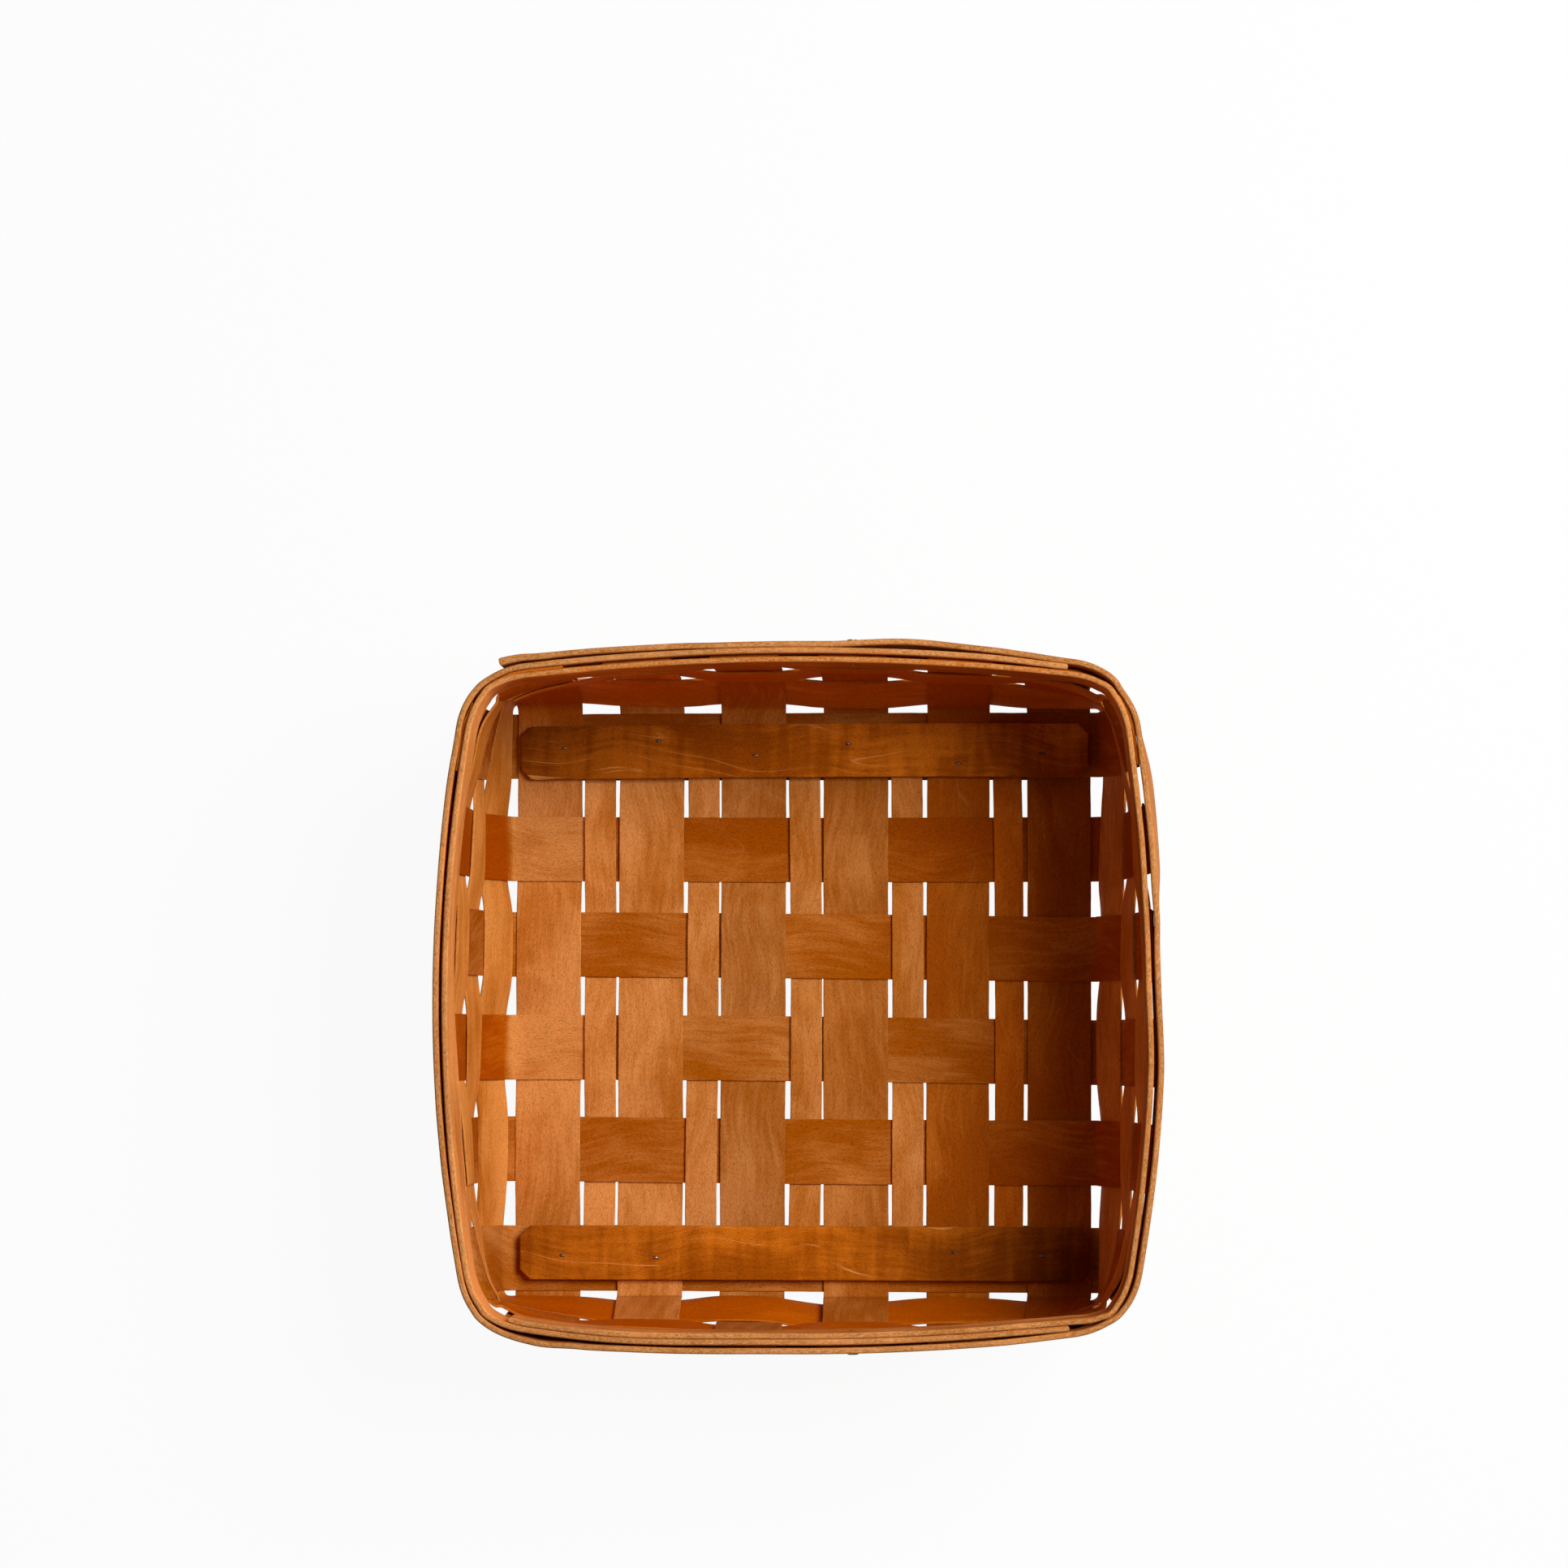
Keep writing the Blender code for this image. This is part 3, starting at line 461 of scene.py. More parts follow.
def band_outlines():
    """The outlines of each band's lower and upper edge."""
    outlines, bottom = [], FIRST_BAND_RISE
    for _ in BAND_NAMES:
        top = band_top(bottom)
        outlines.append((woven_outline(bottom), woven_outline(top)))
        bottom = top + BAND_GAP
    return outlines


def stake_centres(drift_shares):
    return [(i + share) * PITCH - OUTERMOST for i, share in enumerate(drift_shares)]


def along_wall(wall, place):
    return place * sum(ALONG[wall])


def ease(share):
    return share * share * (3 - 2 * share)


def ramp(values, start, end):
    """An even rise from 0 to 1 between two values."""
    return np.clip((values - start) / (end - start), 0, 1)


def easing(values, start, end):
    """A smooth rise from 0 to 1 between two values."""
    return ease(ramp(values, start, end))


def hump(turns, height, start, end):
    """A smooth hump of this height between two turns."""
    return height * np.sin(math.pi * ramp(turns, start, end)) ** 2


def end_curve(past):
    """A curve up from 0 at -1 to 1 at 0, which is the end of a strip."""
    return np.clip(past + 1, 0, 1) ** 2


def between(turns, steps):
    """The value at each turn, with smooth steps from one of the given ones to the next."""
    places, values = np.array(steps, dtype=float).T
    last = np.clip(np.searchsorted(places, turns, side="right") - 1, 0, len(places) - 2)
    share = ramp(turns, places[last], places[last + 1])
    return values[last] + (values[last + 1] - values[last]) * ease(share)


def ripple(run, seed, wave):
    """A smooth irregular curve between about -1 and 1, another for each seed."""
    turns = math.tau * np.asarray(run) / wave
    return sum(height * np.sin(pace * turns + start * seed) for height, pace, start in RIPPLES) / 2


def weave_sides(turns):
    """1 on the even stakes and -1 on the odd ones, and nearly straight in between."""
    total = 0.0
    for shift in WEAVE_SOFTENING:
        past = np.abs((turns + shift) % 2 - 1)
        total += np.clip((past - 0.5) / (0.5 - HALF_STAKE), -1, 1)
    return total / len(WEAVE_SOFTENING)


def knots_of(wall, centres):
    """Where each stake of a wall starts, has its middle and ends, with the turns of those places."""
    places = sorted(along_wall(wall, centre) for centre in centres)
    knots = [place + side * SPLINT_WIDTH / 2 for place in places for side in (-1, 0, 1)]
    turns = [i + side * HALF_STAKE for i in range(len(places)) for side in (-1, 0, 1)]
    return knots, turns


def ring_turns(first, last):
    return np.linspace(first, last, round((last - first) / RING_STEP))


def ring_place(outline, turn):
    """The outline's point at a turn, and the way out from it."""
    turn = turn % STAKES
    wall = int((turn + HALF_STAKE) // STAKES_PER_WAY) % 4
    here = turn - wall * STAKES_PER_WAY
    if here > STAKES_PER_WAY - HALF_STAKE:
        here -= STAKES
    knots, turns = wall_knots[wall]
    if here <= turns[-1]:
        return outline.on_wall(wall, float(np.interp(here, turns, knots)))
    share = (here - turns[-1]) / (1 - 2 * HALF_STAKE)
    return outline.in_corner(wall, knots[-1], wall_knots[(wall + 1) % 4][0][0], share)


def column_shares(half_width, rounding):
    """Places across a strip from -1 to 1, closer together at its rounded edges."""
    edge = [rounding * share / half_width for share in SIDE_COLUMN_SHARES]
    inner = np.linspace(-1 + edge[-1], 1 - edge[-1], MIDDLE_COLUMNS + 2)[1:-1]
    return [-1 + e for e in edge] + list(inner) + [1 - e for e in reversed(edge)]


def ring_strip(turns, outlines, offsets, width, rounding):
    """The middle surface of a strip round the walls, with a list of offsets for its foot and its head."""
    shares = column_shares(width / 2, rounding)
    grid = []
    for turn, foot_offset, head_offset in zip(turns, *offsets):
        (foot, foot_out), (head, head_out) = (ring_place(outline, turn) for outline in outlines)
        out = (foot_out + head_out).normalized()
        rise = head - foot
        square = (out * rise.z - UP * rise.dot(out)).normalized()
        foot, head = foot + square * foot_offset, head + square * head_offset
        grid.append([foot.lerp(head, (1 + share) / 2) for share in shares])
    return np.array(grid, dtype=float)


def shared_swing(wall, turns, height):
    """How far the stakes give way, so that the bands need to swing less: the same shift for both."""
    past_middle = np.abs(turns - wall * STAKES_PER_WAY - (STAKES_PER_WAY - 1) / 2)
    steady = 1 - CORNER_GIVE * ease(np.clip(past_middle - CORNER_GIVE_STAKES, 0, 1))
    heights, shifts = [SWING_FOOT], [np.zeros_like(turns)]
    for i, (foot, head) in enumerate(bands):
        odd_side = -1 if i % 2 else 1
        shift = odd_side * (1 - BAND_SWINGS[i][wall] * steady) * WEAVE_LIFT * weave_sides(turns)
        heights += [foot.height + BAND_EDGE_EASE, head.height - BAND_EDGE_EASE]
        shifts += [shift, shift]
    heights.append(hoop_bottom)
    shifts.append(np.zeros_like(turns))
    total = np.zeros_like(turns)
    for low, high, start, end in zip(heights, heights[1:], shifts, shifts[1:]):
        inside = (height > low) & (height <= high)
        total = np.where(inside, start + (end - start) * ramp(height, low, high), total)
    return total


def rim_shift(turns, height):
    """How far the top of a wall follows the hoops, or bulges out below them."""
    following = between(turns, RIM_SHIFTS) * easing(height, *RIM_SHIFT_HEIGHTS)
    return following + between(turns, BULGE_SHIFTS) * np.interp(height, *zip(*BULGE_BY_HEIGHT))


def settled(grid):
    """The grid with the walls' own unevenness at their foot, in the weave and up to the rim."""
    height = grid[..., 2]
    foot_weight = np.interp(height, *zip(*FOOT_BY_HEIGHT))
    moved = grid.copy()
    for wall, (places, shifts) in enumerate(FOOT_SHIFTS):
        out, along = np.array(OUTWARD[wall]), grid @ np.array(ALONG[wall])
        turns = wall * STAKES_PER_WAY + np.interp(along, *wall_knots[wall])
        shift = np.interp(along, places, shifts) * foot_weight
        shift += shared_swing(wall, turns, height)
        shift += rim_shift(turns % STAKES, height)
        moved += (shift * easing(grid @ out, *WALL_REACH))[..., None] * out
    return moved


def slipped(grid, shifts, axis):
    """A straight strip moved sideways by these amounts at the low end, middle and high end of the base."""
    run = np.clip(grid[..., 1 - axis] / OUTERMOST, -1, 1)
    low, middle, high = shifts
    slip = middle + (high - low) / 2 * run + ((high + low) / 2 - middle) * run**2
    moved = grid.copy()
    moved[..., axis] += slip
    return moved


def softened(grid, rounds):
    """The grid with its rows drawn towards their neighbours, except at the ends."""
    for _ in range(rounds):
        grid[1:-1] = (grid[:-2] + 2 * grid[1:-1] + grid[2:]) / 4
    return grid


def resampled(rows):
    """A grid with its rows close together, and its bends softened."""
    rows = np.array(rows, dtype=float)
    middle = rows[:, rows.shape[1] // 2]
    parts = [rows[:1]]
    for i, length in enumerate(np.linalg.norm(np.diff(middle, axis=0), axis=1)):
        steps = max(1, math.ceil(length / ROW_STEP))
        shares = np.arange(1, steps + 1)[:, None, None] / steps
        parts.append(rows[i] + (rows[i + 1] - rows[i]) * shares)
    return softened(np.concatenate(parts), SOFTEN_ROUNDS)


def base_point(wall, line, reach, lift):
    return OUTWARD[wall] * reach + ALONG[wall] * along_wall(wall, line) + UP * lift


def wall_rows(lines, edge, lift, wall, setback, lean):
    """The rows of a stake from its fold to its top end, which is this far below the rim."""
    outlines = climb_outlines + [rim_outline(hoop_top - setback)]
    columns = []
    for line in lines:
        climb = []
        for outline in outlines:
            leaning = line + lean * (1 - math.exp(-outline.height / LEAN_REACH))
            climb.append(outline.on_wall(wall, along_wall(wall, leaning))[0])
        slope = climb[1] - climb[0]
        start = base_point(wall, line, edge, lift)
        corner = climb[0] - slope * ((climb[0].z - lift) / slope.z)
        fold = [start.lerp(corner, s).lerp(corner.lerp(climb[0], s), s) for s in FOLD_STEP_SHARES]
        columns.append(fold + climb)
    return [list(row) for row in zip(*columns)]


def base_rows(lines, crossing_centres, lifts, wall):
    """The rows of a strip in the base, level where it crosses each of the others."""
    rows = []
    for centre, lift in zip(crossing_centres, lifts):
        for edge in (centre - SPLINT_WIDTH / 2, centre + SPLINT_WIDTH / 2):
            rows.append([base_point(wall, line, edge, lift) for line in lines])
    return rows


def over_and_under(index):
    return [WEAVE_LIFT if (index + row) % 2 else -WEAVE_LIFT for row in range(STAKES_PER_WAY)]


def stake_grid(centre, crossing_centres, lifts, walls, setback, leans, width_share=1.0):
    """A splint from the top of one wall, across the base and up the opposite wall."""
    half = width_share * SPLINT_WIDTH / 2
    lines = [centre + share * half for share in column_shares(half, SPLINT_ROUNDING)]
    behind, ahead = walls
    down = wall_rows(lines, SPLINT_WIDTH / 2 - crossing_centres[0], lifts[0], behind, setback, leans[0])
    up = wall_rows(lines, SPLINT_WIDTH / 2 + crossing_centres[-1], lifts[-1], ahead, setback, leans[1])
    base = base_rows(lines, crossing_centres, lifts, ahead)[1:-1]
    return resampled(down[::-1] + base + up)


def cleat_middles():
    return crosswise[0] + CLEAT_INSET, crosswise[-1] - CLEAT_INSET


def filler_grid(index):
    """A narrow splint between two lengthwise stakes, with its ends caught by the cleats."""
    middle = (lengthwise[index] + lengthwise[index + 1]) / 2
    half = FILLER_WIDTH_SHARES[index] * FILLER_WIDTH / 2
    lines = [middle + share * half for share in column_shares(half, SPLINT_ROUNDING)]
    lifts = over_and_under(index + 1)
    ends = [
        [base_point(FAR, line, centre, lift) for line in lines]
        for centre, lift in zip(cleat_middles(), (lifts[0], lifts[-1]))
    ]
    return resampled([ends[0], *base_rows(lines, crosswise, lifts, FAR)[1:-1], ends[1]])


def board_grid(middle, height):
    """A batten across the base with its four corners cut off."""
    end = STAKES_END - CLEAT_END_INSET
    shares = column_shares(CLEAT_WIDTH / 2, BOARD_ROUNDING)
    corner = end - CLEAT_CHAMFER
    rows = math.ceil(2 * corner / ROW_STEP)
    cut = [end - share * CLEAT_CHAMFER for share in CHAMFER_ROW_SHARES]
    places = [-x for x in cut] + list(np.linspace(-corner, corner, rows + 1)) + cut[::-1]
    grid = []
    for x in places:
        half = CLEAT_WIDTH / 2 - max(abs(x) - corner, 0)
        grid.append([(x, middle + share * half, height) for share in shares])
    return np.array(grid, dtype=float)


class Look:
    """How one strip differs from the next: its colour, its grain and its unevenness, with painted light and
    shade in its tones.
    """

    def __init__(
        self, seed, light=0.0, warm=0.0, wobble=SPLINT_WOBBLE, ragged=0.0, patches=(), swell=0.0, blunt=0.0
    ):
        self.seed, self.light, self.warm = seed, light, warm
        self.wobble, self.ragged, self.patches = wobble, ragged, patches
        self.swell, self.blunt = swell, blunt

    def tones(self, middle):
        """How much lighter and how much deeper in colour the strip is at each row: partly its own tone,
        partly painted light and shade.
        """
        light, warm = np.full(len(middle), self.light), np.full(len(middle), self.warm)
        for axis, *rows in self.patches:
            places, lights, warms = zip(*rows)
            light += np.interp(middle[:, axis], places, lights)
            warm += np.interp(middle[:, axis], places, warms)
        return light, warm


def close_ends(grid):
    """The grid with extra rows close to both ends, so that these can be rounded."""
    first = [grid[0] + (grid[1] - grid[0]) * share for share in END_ROW_SHARES]
    last = [grid[-1] + (grid[-2] - grid[-1]) * share for share in reversed(END_ROW_SHARES)]
    return np.concatenate((grid[:1], first, grid[1:-1], last, grid[-1:]))


def ways(grid, axis):
    """The unit tangents of a grid along one of its axes."""
    tangent = np.gradient(grid, axis=axis)
    return tangent / np.maximum(np.linalg.norm(tangent, axis=2, keepdims=True), TINY)


def stray(run, side, look):
    """How far each point strays across the strip: most at the edges, and inwards."""
    share = np.abs(side / np.abs(side).max(axis=1, keepdims=True)) ** WOBBLE_POWER
    low_edge = 1 + ripple(run, look.seed, LOW_EDGE_WAVE)[:, None]
    high_edge = 1 + ripple(run, look.seed + HIGH_EDGE_SEED, HIGH_EDGE_WAVE)[:, None]
    return look.wobble * np.where(side < 0, low_edge, -high_edge) * share


def fray_ends(grid, side, look):
    """Draws the points of both end rows back unevenly, as a cut through the fibres leaves them."""
    lengthwise_way = ways(grid, 0)
    for end, way in ((0, -1), (-1, 1)):
        teeth = ripple(side[end], look.seed + end, TOOTH_WAVE)
        teeth += ripple(side[end], look.seed, TOOTH_GROUP_WAVE)
        grid[end] -= lengthwise_way[end] * (way * np.abs(look.ragged * teeth / 2))[:, None]


def rounded_half(distance, half, rounding):
    """Half the thickness this far in from an edge with rounded arrises."""
    inward = np.clip(1 - distance / rounding, 0, 1)
    return half - rounding * (1 - np.sqrt(1 - inward**2))


def half_thickness(run, side, thickness, rounding, look):
    """Half the thickness at each point of a strip, which may swell towards its end."""
    to_side = np.abs(side).max(axis=1, keepdims=True) - np.abs(side)
    to_end = np.minimum(run, run[-1] - run)[:, None]
    swell = look.swell * end_curve((run - run[-1]) / SWELL_REACH)
    half = (thickness + swell)[:, None] / 2
    by_end = rounded_half(to_end, half, look.blunt or rounding)
    return np.minimum(rounded_half(to_side, half, rounding), by_end)


def join_rings(shape, rings):
    """The faces between rings that have as many points each."""
    for ring, following in zip(rings, rings[1:]):
        for k in range(len(ring)):
            shape.faces.new((ring[k - 1], ring[k], following[k], following[k - 1]))


def solid_strip(name, grid, thickness, rounding, finish, look):
    """A closed strip with rounded edges round a middle surface, with its grain along its length."""
    grid = close_ends(grid)
    rows, columns = grid.shape[:2]
    middle = grid[:, columns // 2]
    run = np.concatenate(([0.0], np.cumsum(np.linalg.norm(np.diff(middle, axis=0), axis=1))))
    signs = np.where(np.arange(columns) < columns // 2, -1, 1)
    side = np.linalg.norm(grid - middle[:, None], axis=2) * signs
    grid = grid + ways(grid, 1) * stray(run, side, look)[:, :, None]
    normal = np.cross(ways(grid, 0), ways(grid, 1))
    normal /= np.linalg.norm(normal, axis=2, keepdims=True)
    if look.ragged:
        fray_ends(grid, side, look)
    half = half_thickness(run, side, thickness, rounding, look)
    swirl = GRAIN_SWIRL * ripple(run, look.seed + SWIRL_SEED, GRAIN_SWIRL_WAVE)
    # Each row's tone: the strip's own shift in colour, with painted light and shade where its patches lie
    light, warm = look.tones(middle)
    shape = bmesh.new()
    grain_layer = shape.verts.layers.float_vector.new("grain")
    tone_layer = shape.verts.layers.float_vector.new("tone")
    rings = []
    for i in range(rows):
        ring = []
        for sign in (-1, 1):
            for k in range(columns) if sign < 0 else reversed(range(columns)):
                reach = sign * half[i, k]
                vert = shape.verts.new(grid[i, k] + normal[i, k] * reach + IN_PLACE)
                vert[grain_layer] = (run[i] + GRAIN_APART * look.seed, side[i, k] + swirl[i], reach)
                is_edge = 1.0 if k in (0, columns - 1) or i in (0, rows - 1) else 0.0
                vert[tone_layer] = (light[i], warm[i], is_edge)
                ring.append(vert)
        rings.append(ring)
    join_rings(shape, rings)
    for ring in (rings[0], rings[-1]):
        for k in range(columns - 1):
            shape.faces.new((ring[k], ring[k + 1], ring[-k - 2], ring[-k - 1]))
    add_piece(name, shape, finish)


def add_object(name, data):
    thing = bpy.data.objects.new(name, data)
    bpy.context.scene.collection.objects.link(thing)
    return thing


def add_piece(name, shape, finish):
    """The shape as a piece of the basket, with its faces out and smooth."""
    bmesh.ops.recalc_face_normals(shape, faces=shape.faces)
    mesh = bpy.data.meshes.new(name)
    shape.to_mesh(mesh)
    shape.free()
    mesh.shade_smooth()
    mesh.set_sharp_from_angle(angle=SHARP_ANGLE)
    mesh.materials.append(finishes[finish])
    piece = add_object("look_" + name, mesh)
    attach(piece, "root")
    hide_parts(name)


class Shader:
    """A material's nodes, added one by one."""

    def __init__(self, name):
        self.material = bpy.data.materials.new(name)
        self.material.use_nodes = True
        self.tree = self.material.node_tree
        self.principled = self.tree.nodes["Principled BSDF"]

    def put(self, socket, value):
        if isinstance(value, bpy.types.NodeSocket):
            self.tree.links.new(value, socket)
        elif isinstance(value, tuple) and len(value) == 3 and socket.type == "RGBA":
            socket.default_value = (*value, 1.0)
        else:
            socket.default_value = value

    def set(self, name, value):
        """Gives an input of the surface a value or a colour, or links it."""
        self.put(self.principled.inputs[name], value)

    def add(self, kind, inputs, **settings):
        node = self.tree.nodes.new(kind)
        for key, value in settings.items():
            setattr(node, key, value)
        for key, value in inputs.items():
            self.put(node.inputs[key], value)
        return node

    def math(self, operation, a, b):
        return self.add("ShaderNodeMath", {0: a, 1: b}, operation=operation).outputs[0]

    def plus(self, a, b):
        return self.math("ADD", a, b)

    def times(self, a, b):
        return self.math("MULTIPLY", a, b)

    def attribute(self, name):
        return self.add("ShaderNodeAttribute", {}, attribute_name=name).outputs["Vector"]

    def noise(self, vector, stretch, detail=2.0, roughness=0.5, distortion=0.0):
        """Noise with so many features to the metre along, across and through the wood."""
        inputs = {"Scale": 1.0, "Detail": detail, "Roughness": roughness, "Distortion": distortion}
        inputs["Vector"] = self.product(vector, stretch)
        return self.add("ShaderNodeTexNoise", inputs).outputs[0]

    def range(self, value, low, high, to_low=0.0, to_high=1.0):
        inputs = {"Value": value, "From Min": low, "From Max": high, "To Min": to_low, "To Max": to_high}
        return self.add("ShaderNodeMapRange", inputs, interpolation_type="SMOOTHSTEP").outputs[0]

    def mix(self, share, a, b):
        return self.add("ShaderNodeMix", {0: share, 6: a, 7: b}, data_type="RGBA").outputs[2]

    def product(self, a, b):
        """Two vectors or colours multiplied part by part."""
        return self.add("ShaderNodeVectorMath", {0: a, 1: b}, operation="MULTIPLY").outputs[0]

    def scaled(self, colour, factor):
        """The colour times a number."""
        return self.add("ShaderNodeVectorMath", {0: colour, "Scale": factor}, operation="SCALE").outputs[0]

    def bump(self, strength, distance, height):
        inputs = {"Strength": strength, "Distance": distance, "Height": height}
        self.set("Normal", self.add("ShaderNodeBump", inputs).outputs[0])


def wood(
    name, pale, deep, worn, curl=0.1, roughness=0.5, fray=0.3, scratched=0.18, figured=(9, 26, 6),
    rounds=13.0,
):
    """Stained wood veneer: clouds of stain, arcs of figure, fine pores and pale worn edges."""
    shader = Shader(name)
    grain = shader.attribute("grain")
    light, warm, edge = shader.add("ShaderNodeSeparateXYZ", {0: shader.attribute("tone")}).outputs
    clouds, streaks, waves, pores, dust, fibres = (
        shader.noise(grain, *kind) for kind in (CLOUDS, STREAKS, WAVES, PORES, DUST, FIBRES)
    )
    pores = shader.range(pores, *PORE_RANGE)
    figure = shader.noise(grain, figured, *FIGURE_NOISE)
    rings = shader.math("PINGPONG", shader.times(figure, rounds), RING_HALF)

    stain = shader.plus(shader.times(clouds, CLOUD_SHARE), shader.times(streaks, STREAK_SHARE))
    stain = shader.plus(stain, shader.times(shader.range(rings, 0.0, RING_HALF), RING_SHARE))
    stain = shader.plus(stain, shader.times(waves, curl))
    depth = shader.range(stain, STAIN_LOW + curl / 2, STAIN_HIGH + curl / 2)
    # The tone's light and warm shares hold each strip's own tone and painted light and shade
    depth = shader.plus(depth, shader.times(warm, WARM_DEPTH))
    colour = shader.mix(shader.range(depth, 0.0, 1.0), pale, deep)
    tint = shader.mix(shader.range(warm, 0.0, RICHEST_WARMTH), PLAIN_TINT, RICH_TINT)
    colour = shader.product(colour, tint)

    level = shader.times(shader.plus(light, 1.0), shader.range(pores, 0.0, 1.0, *PORE_LEVELS))
    level = shader.times(level, shader.range(dust, *DUST_RANGE, *DUST_LEVELS))
    colour = shader.scaled(colour, level)

    hairlines = shader.range(rings, 0.0, HAIRLINE, 1.0, 0.0)
    broken = shader.range(shader.noise(grain, *BREAKS), *BREAK_RANGE)
    colour = shader.mix(shader.times(shader.times(hairlines, broken), scratched), colour, worn)

    fuzz = shader.mix(shader.range(fibres, *FIBRE_RANGE), deep, worn)
    tufts = shader.range(shader.noise(grain, *TUFTS), *TUFT_RANGE, THIN_TUFT_SHARE * fray, fray)
    colour = shader.mix(shader.times(edge, tufts), colour, fuzz)
    shader.set("Base Color", colour)

    gloss = shader.range(dust, *GLOSS_RANGE, roughness - GLOSS_BELOW, roughness + GLOSS_ABOVE)
    shader.set("Roughness", shader.plus(gloss, shader.times(edge, EDGE_DULLNESS)))
    shader.set("Specular IOR Level", WOOD_SPECULAR)
    relief = shader.math("SUBTRACT", shader.times(dust, DUST_RELIEF), pores)
    relief = shader.plus(relief, shader.times(shader.times(fibres, edge), FIBRE_RELIEF))
    shader.bump(*WOOD_BUMP, relief)
    return shader.material


def steel():
    """Dull nail steel, with tarnish in clouds and a fine uneven surface."""
    shader = Shader("nail_steel")
    tarnish = shader.noise(shader.add("ShaderNodeTexCoord", {}).outputs["Object"], *TARNISH)
    shader.set("Base Color", shader.mix(shader.range(tarnish, *TARNISH_RANGE), STEEL_BRIGHT, STEEL_DARK))
    shader.set("Metallic", 1.0)
    shader.set("Roughness", shader.range(tarnish, *GLOSS_RANGE, *STEEL_ROUGHNESS))
    shader.bump(*STEEL_BUMP, tarnish)
    return shader.material


def paper():
    """A floor that the camera sees as nearly white, and that still takes the basket's shadow."""
    shader = Shader("paper")
    shader.set("Base Color", FLOOR_COLOUR)
    shader.set("Roughness", FLOOR_ROUGHNESS)
    shown = shader.add("ShaderNodeEmission", {"Color": WHITE, "Strength": 1.0}).outputs[0]
    path = shader.add("ShaderNodeLightPath", {}).outputs
    seen = shader.math("MAXIMUM", path["Is Camera Ray"], path["Is Glossy Ray"])
    seen = shader.math("MAXIMUM", seen, path["Is Transmission Ray"])
    inputs = {0: shader.times(seen, FLOOR_WHITE_SHARE), 1: shader.principled.outputs[0], 2: shown}
    surface = shader.add("ShaderNodeMixShader", inputs).outputs[0]
    shader.put(shader.tree.nodes["Material Output"].inputs["Surface"], surface)
    return shader.material


def add_splint(name, grid, finish, look):
    solid_strip(name, grid, SPLINT_THICKNESS, SPLINT_ROUNDING, finish, look)


def add_lengthwise_stake(i):
    leans = LENGTHWISE_LEANS.get(i, UPRIGHT)
    lifts, share = over_and_under(i), LENGTHWISE_WIDTH_SHARES[i]
    grid = stake_grid(lengthwise[i], crosswise, lifts, (NEAR, FAR), STAKE_SETBACKS[i], leans, share)
    grid = settled(slipped(grid, LENGTHWISE_SLIPS[i], 0))
    patches = [DEEP_FAR] if i else [DEEP_FAR, PAINTED_SHADE_ENDS]
    look = Look(LENGTHWISE_SEED + i, *LENGTHWISE_LOOKS[i], ragged=RAGGED_TIP, patches=patches)
    add_splint(f"lengthwise_stake_{i + 1}", grid, "lengthwise_wood", look)


def add_crosswise_stake(i):
    leans = CROSSWISE_LEANS.get(i, UPRIGHT)
    lifts = [0.0] * STAKES_PER_WAY
    grid = stake_grid(crosswise[i], lengthwise, lifts, (LEFT, RIGHT), STAKE_SETBACKS[-1 - i], leans)
    grid = settled(slipped(grid, CROSSWISE_SLIPS[i], 1))
    patches = [DEEP_RIGHT, PALE_END] if i in PALE_ENDED else [DEEP_RIGHT]
    look = Look(CROSSWISE_SEED + i, *CROSSWISE_LOOKS[i], ragged=RAGGED_TIP, patches=patches)
    add_splint(f"crosswise_stake_{i + 1}", grid, "crosswise_wood", look)


def add_filler(i):
    look = Look(FILLER_SEED + i, *FILLER_LOOKS[i], patches=[DEEP_FAR])
    grid = slipped(filler_grid(i), FILLER_SLIPS[i], 0)
    add_splint(f"filler_{i + 1}", grid, "lengthwise_wood", look)


def add_band(i):
    """A band woven round the uprights, which laps over its own start on one of them."""
    lap_stake = BAND_LAP_STAKES[i]
    inset = BAND_LAP_INSET / PITCH
    start, end = lap_stake - HALF_STAKE + inset, lap_stake + STAKES + HALF_STAKE - inset
    turns = ring_turns(start, end)
    odd_side = -1 if i % 2 else 1
    side = odd_side if lap_stake % 2 else -odd_side
    layer = easing(turns, start + STAKES - 2 * HALF_STAKE, start + STAKES + 1 - 4 * HALF_STAKE)
    offset = (side * layer - odd_side * weave_sides(turns)) * WEAVE_LIFT
    grid = settled(ring_strip(turns, bands[i], (offset, offset), SPLINT_WIDTH, SPLINT_ROUNDING))
    grid = softened(grid, BAND_SOFTEN_ROUNDS)
    patches = [PALE_LEFT, DEEP_BAND_RIGHT, DEEP_FAR, DEEP_NEAR]
    look = Look(BAND_SEED + i, wobble=RING_WOBBLE, patches=patches)
    add_splint(BAND_NAMES[i], grid, "band_wood", look)


def add_hoop(name, turns, offset, twist, look):
    """A hoop whose top stands out by the offset, and its foot less far by the twist."""
    offset = offset + between(turns % STAKES, RIM_SHIFTS)
    grid = ring_strip(turns, hoop_outlines, (offset - twist, offset), HOOP_WIDTH, HOOP_ROUNDING)
    solid_strip(name, grid, HOOP_THICKNESS, HOOP_ROUNDING, "hoop_wood", look)


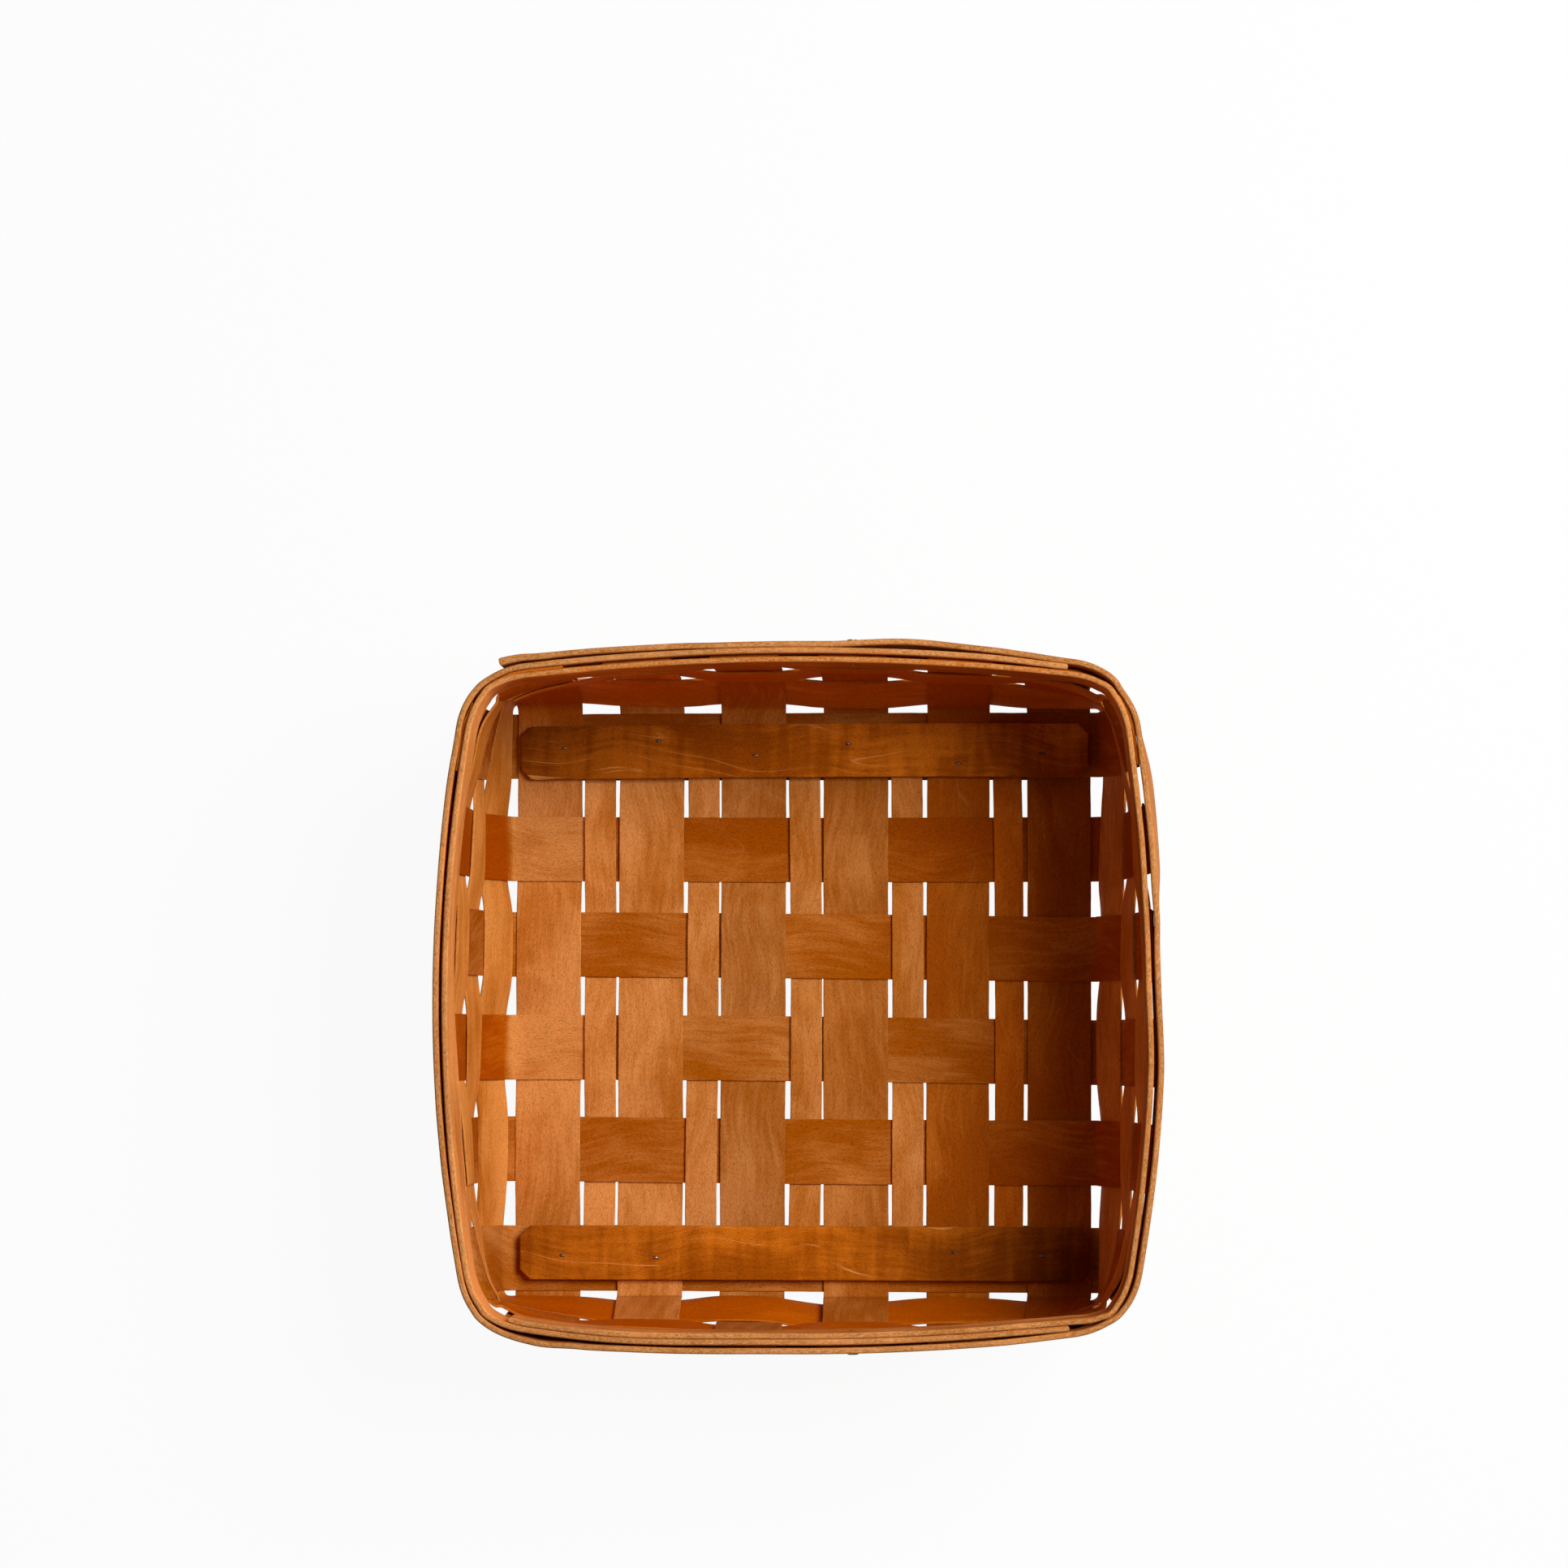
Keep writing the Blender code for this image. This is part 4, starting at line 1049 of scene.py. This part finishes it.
def add_inner_hoop():
    """The hoop inside the uprights. Its start lies inside its end along the near side."""
    first = NEAR * STAKES_PER_WAY - HALF_STAKE + INNER_TIP_INSET / PITCH
    last = (NEAR + 1) * STAKES_PER_WAY - 1 + STAKES
    turns = ring_turns(first, last)
    layer = 1 - easing(turns, last - STAKES, last - STAKES + INNER_EASING)
    past_last_stake = (turns % STAKES_PER_WAY) - (STAKES_PER_WAY - 1)
    offset = hump(past_last_stake, *CORNER_CLOSING) - FIRST_HOOP_OFFSET
    offset -= layer * (SECOND_HOOP_OFFSET - FIRST_HOOP_OFFSET)
    offset += hump(turns % STAKES, *NEAR_BULGE) + between(turns % STAKES, INNER_SHIFTS)
    patches = [PALE_HOOP_LEFT, PALE_HOOP_NEAR, DEEP_HOOP_RIGHT, DEEP_FAR]
    look = Look(INNER_HOOP_SEED, wobble=RING_WOBBLE, patches=patches, blunt=HOOP_END_ROUNDING)
    add_hoop("inner_hoop", turns, offset, hump(turns % STAKES, *INNER_TWIST), look)


def add_outer_hoop():
    """The hoop outside the uprights. Its end lies over its start along the far side, and stands off."""
    first = FAR * STAKES_PER_WAY
    last = (FAR + 1) * STAKES_PER_WAY - 1 + HALF_STAKE - OUTER_TIP_INSET / PITCH + STAKES
    turns = ring_turns(first, last)
    layer = easing(turns, first + STAKES - OUTER_EASING, first + STAKES)
    offset = FIRST_HOOP_OFFSET + layer * (SECOND_HOOP_OFFSET - FIRST_HOOP_OFFSET)
    offset += hump(turns - STAKES, *HOOP_PARTING)
    swell = FREE_END_SWELL / 2 * end_curve((turns - last) * PITCH / SWELL_REACH)
    kick = FREE_END_KICK * end_curve((turns - last) * PITCH / FREE_END_KICK_REACH)
    offset += hump(turns % STAKES, *NEAR_BULGE) + kick - hump(turns % STAKES, *CORNER_PRESS)
    offset += swell + FREE_END_LIFT * end_curve((turns - last) / (2 * HALF_STAKE))
    offset += between(turns, OUTER_SHIFTS) / MILLIMETRES_IN_METRE
    twist = hump(turns, *FAR_RIGHT_TWIST) + hump(turns, *NEAR_RIGHT_TWIST)
    twist += hump(turns % STAKES, *NEAR_LEFT_TWIST) - between(turns % STAKES, OUTER_LEAN)
    look = Look(
        OUTER_HOOP_SEED, wobble=RING_WOBBLE, patches=[PALE_OUTER_LEFT], swell=FREE_END_SWELL,
        blunt=HOOP_END_ROUNDING,
    )
    add_hoop("outer_hoop", turns, offset, twist, look)


def add_battens(side, middle):
    """A cleat on the base with its runner below."""
    look = Look(CLEAT_SEEDS[side], wobble=CLEAT_WOBBLE, patches=[CLEAT_PATCHES[side]])
    grid = slipped(board_grid(middle, CLEAT_BOTTOM + CLEAT_THICKNESS / 2), CLEAT_SLIPS[side], 1)
    solid_strip(f"{side}_cleat", grid, CLEAT_THICKNESS, BOARD_ROUNDING, "cleat_wood", look)
    grid = board_grid(middle, RUNNER_BOTTOM + RUNNER_THICKNESS / 2)
    solid_strip(f"{side}_runner", grid, RUNNER_THICKNESS, BOARD_ROUNDING, "cleat_wood", look)


def add_nail(name, x, y, way):
    """A nail with its head sunk in the runner. Its tip is bent over on the cleat, or ends just inside it."""
    spine = [(0.0, NAIL_BOTTOM, NAIL_HEAD_RADIUS), (0.0, NAIL_SHOULDER, NAIL_HEAD_RADIUS)]
    spine.append((0.0, NAIL_SHOULDER, NAIL_RADIUS))
    if name in HIDDEN_TIPS:
        spine += [(0.0, CLEAT_TOP - depth, NAIL_RADIUS * share) for depth, share in HIDDEN_TIP]
    else:
        spine += [(along, CLEAT_TOP + rise, NAIL_RADIUS * share) for along, rise, share in CLINCH]
    turns = [math.tau * k / NAIL_SIDES for k in range(NAIL_SIDES)]
    shape = bmesh.new()
    rings = []
    for i, (along, z, radius) in enumerate(spine):
        before, after = spine[max(i - 1, 0)], spine[min(i + 1, len(spine) - 1)]
        lean = math.atan2(after[0] - before[0], after[1] - before[1])
        centre = Vector((x + way * (along - CLINCH_START), y, z)) + Vector(IN_PLACE)
        square = Vector((way * math.cos(lean), 0, -math.sin(lean)))
        points = [centre + radius * (math.cos(t) * square + math.sin(t) * Vector((0, 1, 0))) for t in turns]
        rings.append([shape.verts.new(point) for point in points])
    join_rings(shape, rings)
    shape.faces.new(rings[0])
    shape.faces.new(rings[-1])
    add_piece(name, shape, "steel")


def add_nails(side, middle, shares):
    for i, (across, up) in enumerate(shares):
        x, y = lengthwise[i] + across * SPLINT_WIDTH, middle + up * CLEAT_WIDTH
        add_nail(f"{side}_nail_{i + 1}", x, y, -1 if i % 2 else 1)


def facing(place, aim, top):
    """A rotation that looks from a place to an aim, with this way up in the picture."""
    back = (place - aim).normalized()
    right = top.cross(back).normalized()
    return Matrix((right, back.cross(right), back)).transposed().to_euler()


def add_floor():
    shape = bmesh.new()
    bmesh.ops.create_grid(shape, x_segments=1, y_segments=1, size=FLOOR_SIZE / 2)
    mesh = bpy.data.meshes.new("floor")
    shape.to_mesh(mesh)
    shape.free()
    floor = add_object("floor", mesh)
    mesh.materials.append(paper())


def add_lights():
    """A soft key light from the upper right, and a white world that fills the shadows."""
    lamp = bpy.data.lights.new("key", "AREA")
    lamp.shape = "DISK"
    lamp.size = KEY_SIZE
    lamp.energy = KEY_POWER
    key = add_object("key", lamp)
    key.location = KEY_WAY * KEY_DISTANCE
    key.rotation_euler = facing(key.location, Vector((0, 0, 0)), UP)
    world = bpy.data.worlds.new("studio")
    world.use_nodes = True
    background = world.node_tree.nodes["Background"]
    background.inputs["Color"].default_value = WHITE
    background.inputs["Strength"].default_value = FILL
    bpy.context.scene.world = world


def add_camera():
    lens = bpy.data.cameras.new("camera")
    lens.lens = CAMERA_LENS
    camera = add_object("camera", lens)
    camera.location = CAMERA_PLACE
    camera.rotation_euler = facing(CAMERA_PLACE, CAMERA_AIM, Vector((0, 1, 0)))
    bpy.context.scene.camera = camera


# The plan that the pieces share
lengthwise = stake_centres(LENGTHWISE_DRIFT_SHARES)
crosswise = stake_centres(CROSSWISE_DRIFT_SHARES)
wall_knots = [knots_of(wall, (crosswise, lengthwise)[wall % 2]) for wall in range(4)]
bands = band_outlines()
hoop_bottom = bands[-1][1].height + RIM_GAP
hoop_top = hoop_bottom + HOOP_WIDTH
hoop_outlines = (rim_outline(hoop_bottom), rim_outline(hoop_top - HOOP_TRIM))
climb_outlines = [outline for pair in bands for outline in pair] + [hoop_outlines[0]]
finishes = {kind + "_wood": wood("stained_" + kind, **traits) for kind, traits in WOODS.items()}
finishes["steel"] = steel()

# The basket's pieces
for i in range(STAKES_PER_WAY):
    add_lengthwise_stake(i)
    add_crosswise_stake(i)
for i in range(STAKES_PER_WAY - 1):
    add_filler(i)
for i in range(len(BAND_NAMES)):
    add_band(i)
add_inner_hoop()
add_outer_hoop()
near_middle, far_middle = cleat_middles()
add_battens("near", near_middle)
add_battens("far", far_middle)
add_nails("near", near_middle, NEAR_NAIL_SHARES)
add_nails("far", far_middle, FAR_NAIL_SHARES)

# The rim tacks keep their solids' own shape
for name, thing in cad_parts.items():
    if "tack" in name:
        thing.data.materials.clear()
        thing.data.materials.append(finishes["steel"])

# The studio
add_floor()
add_lights()
add_camera()
bpy.context.scene.view_settings.view_transform = "Standard"
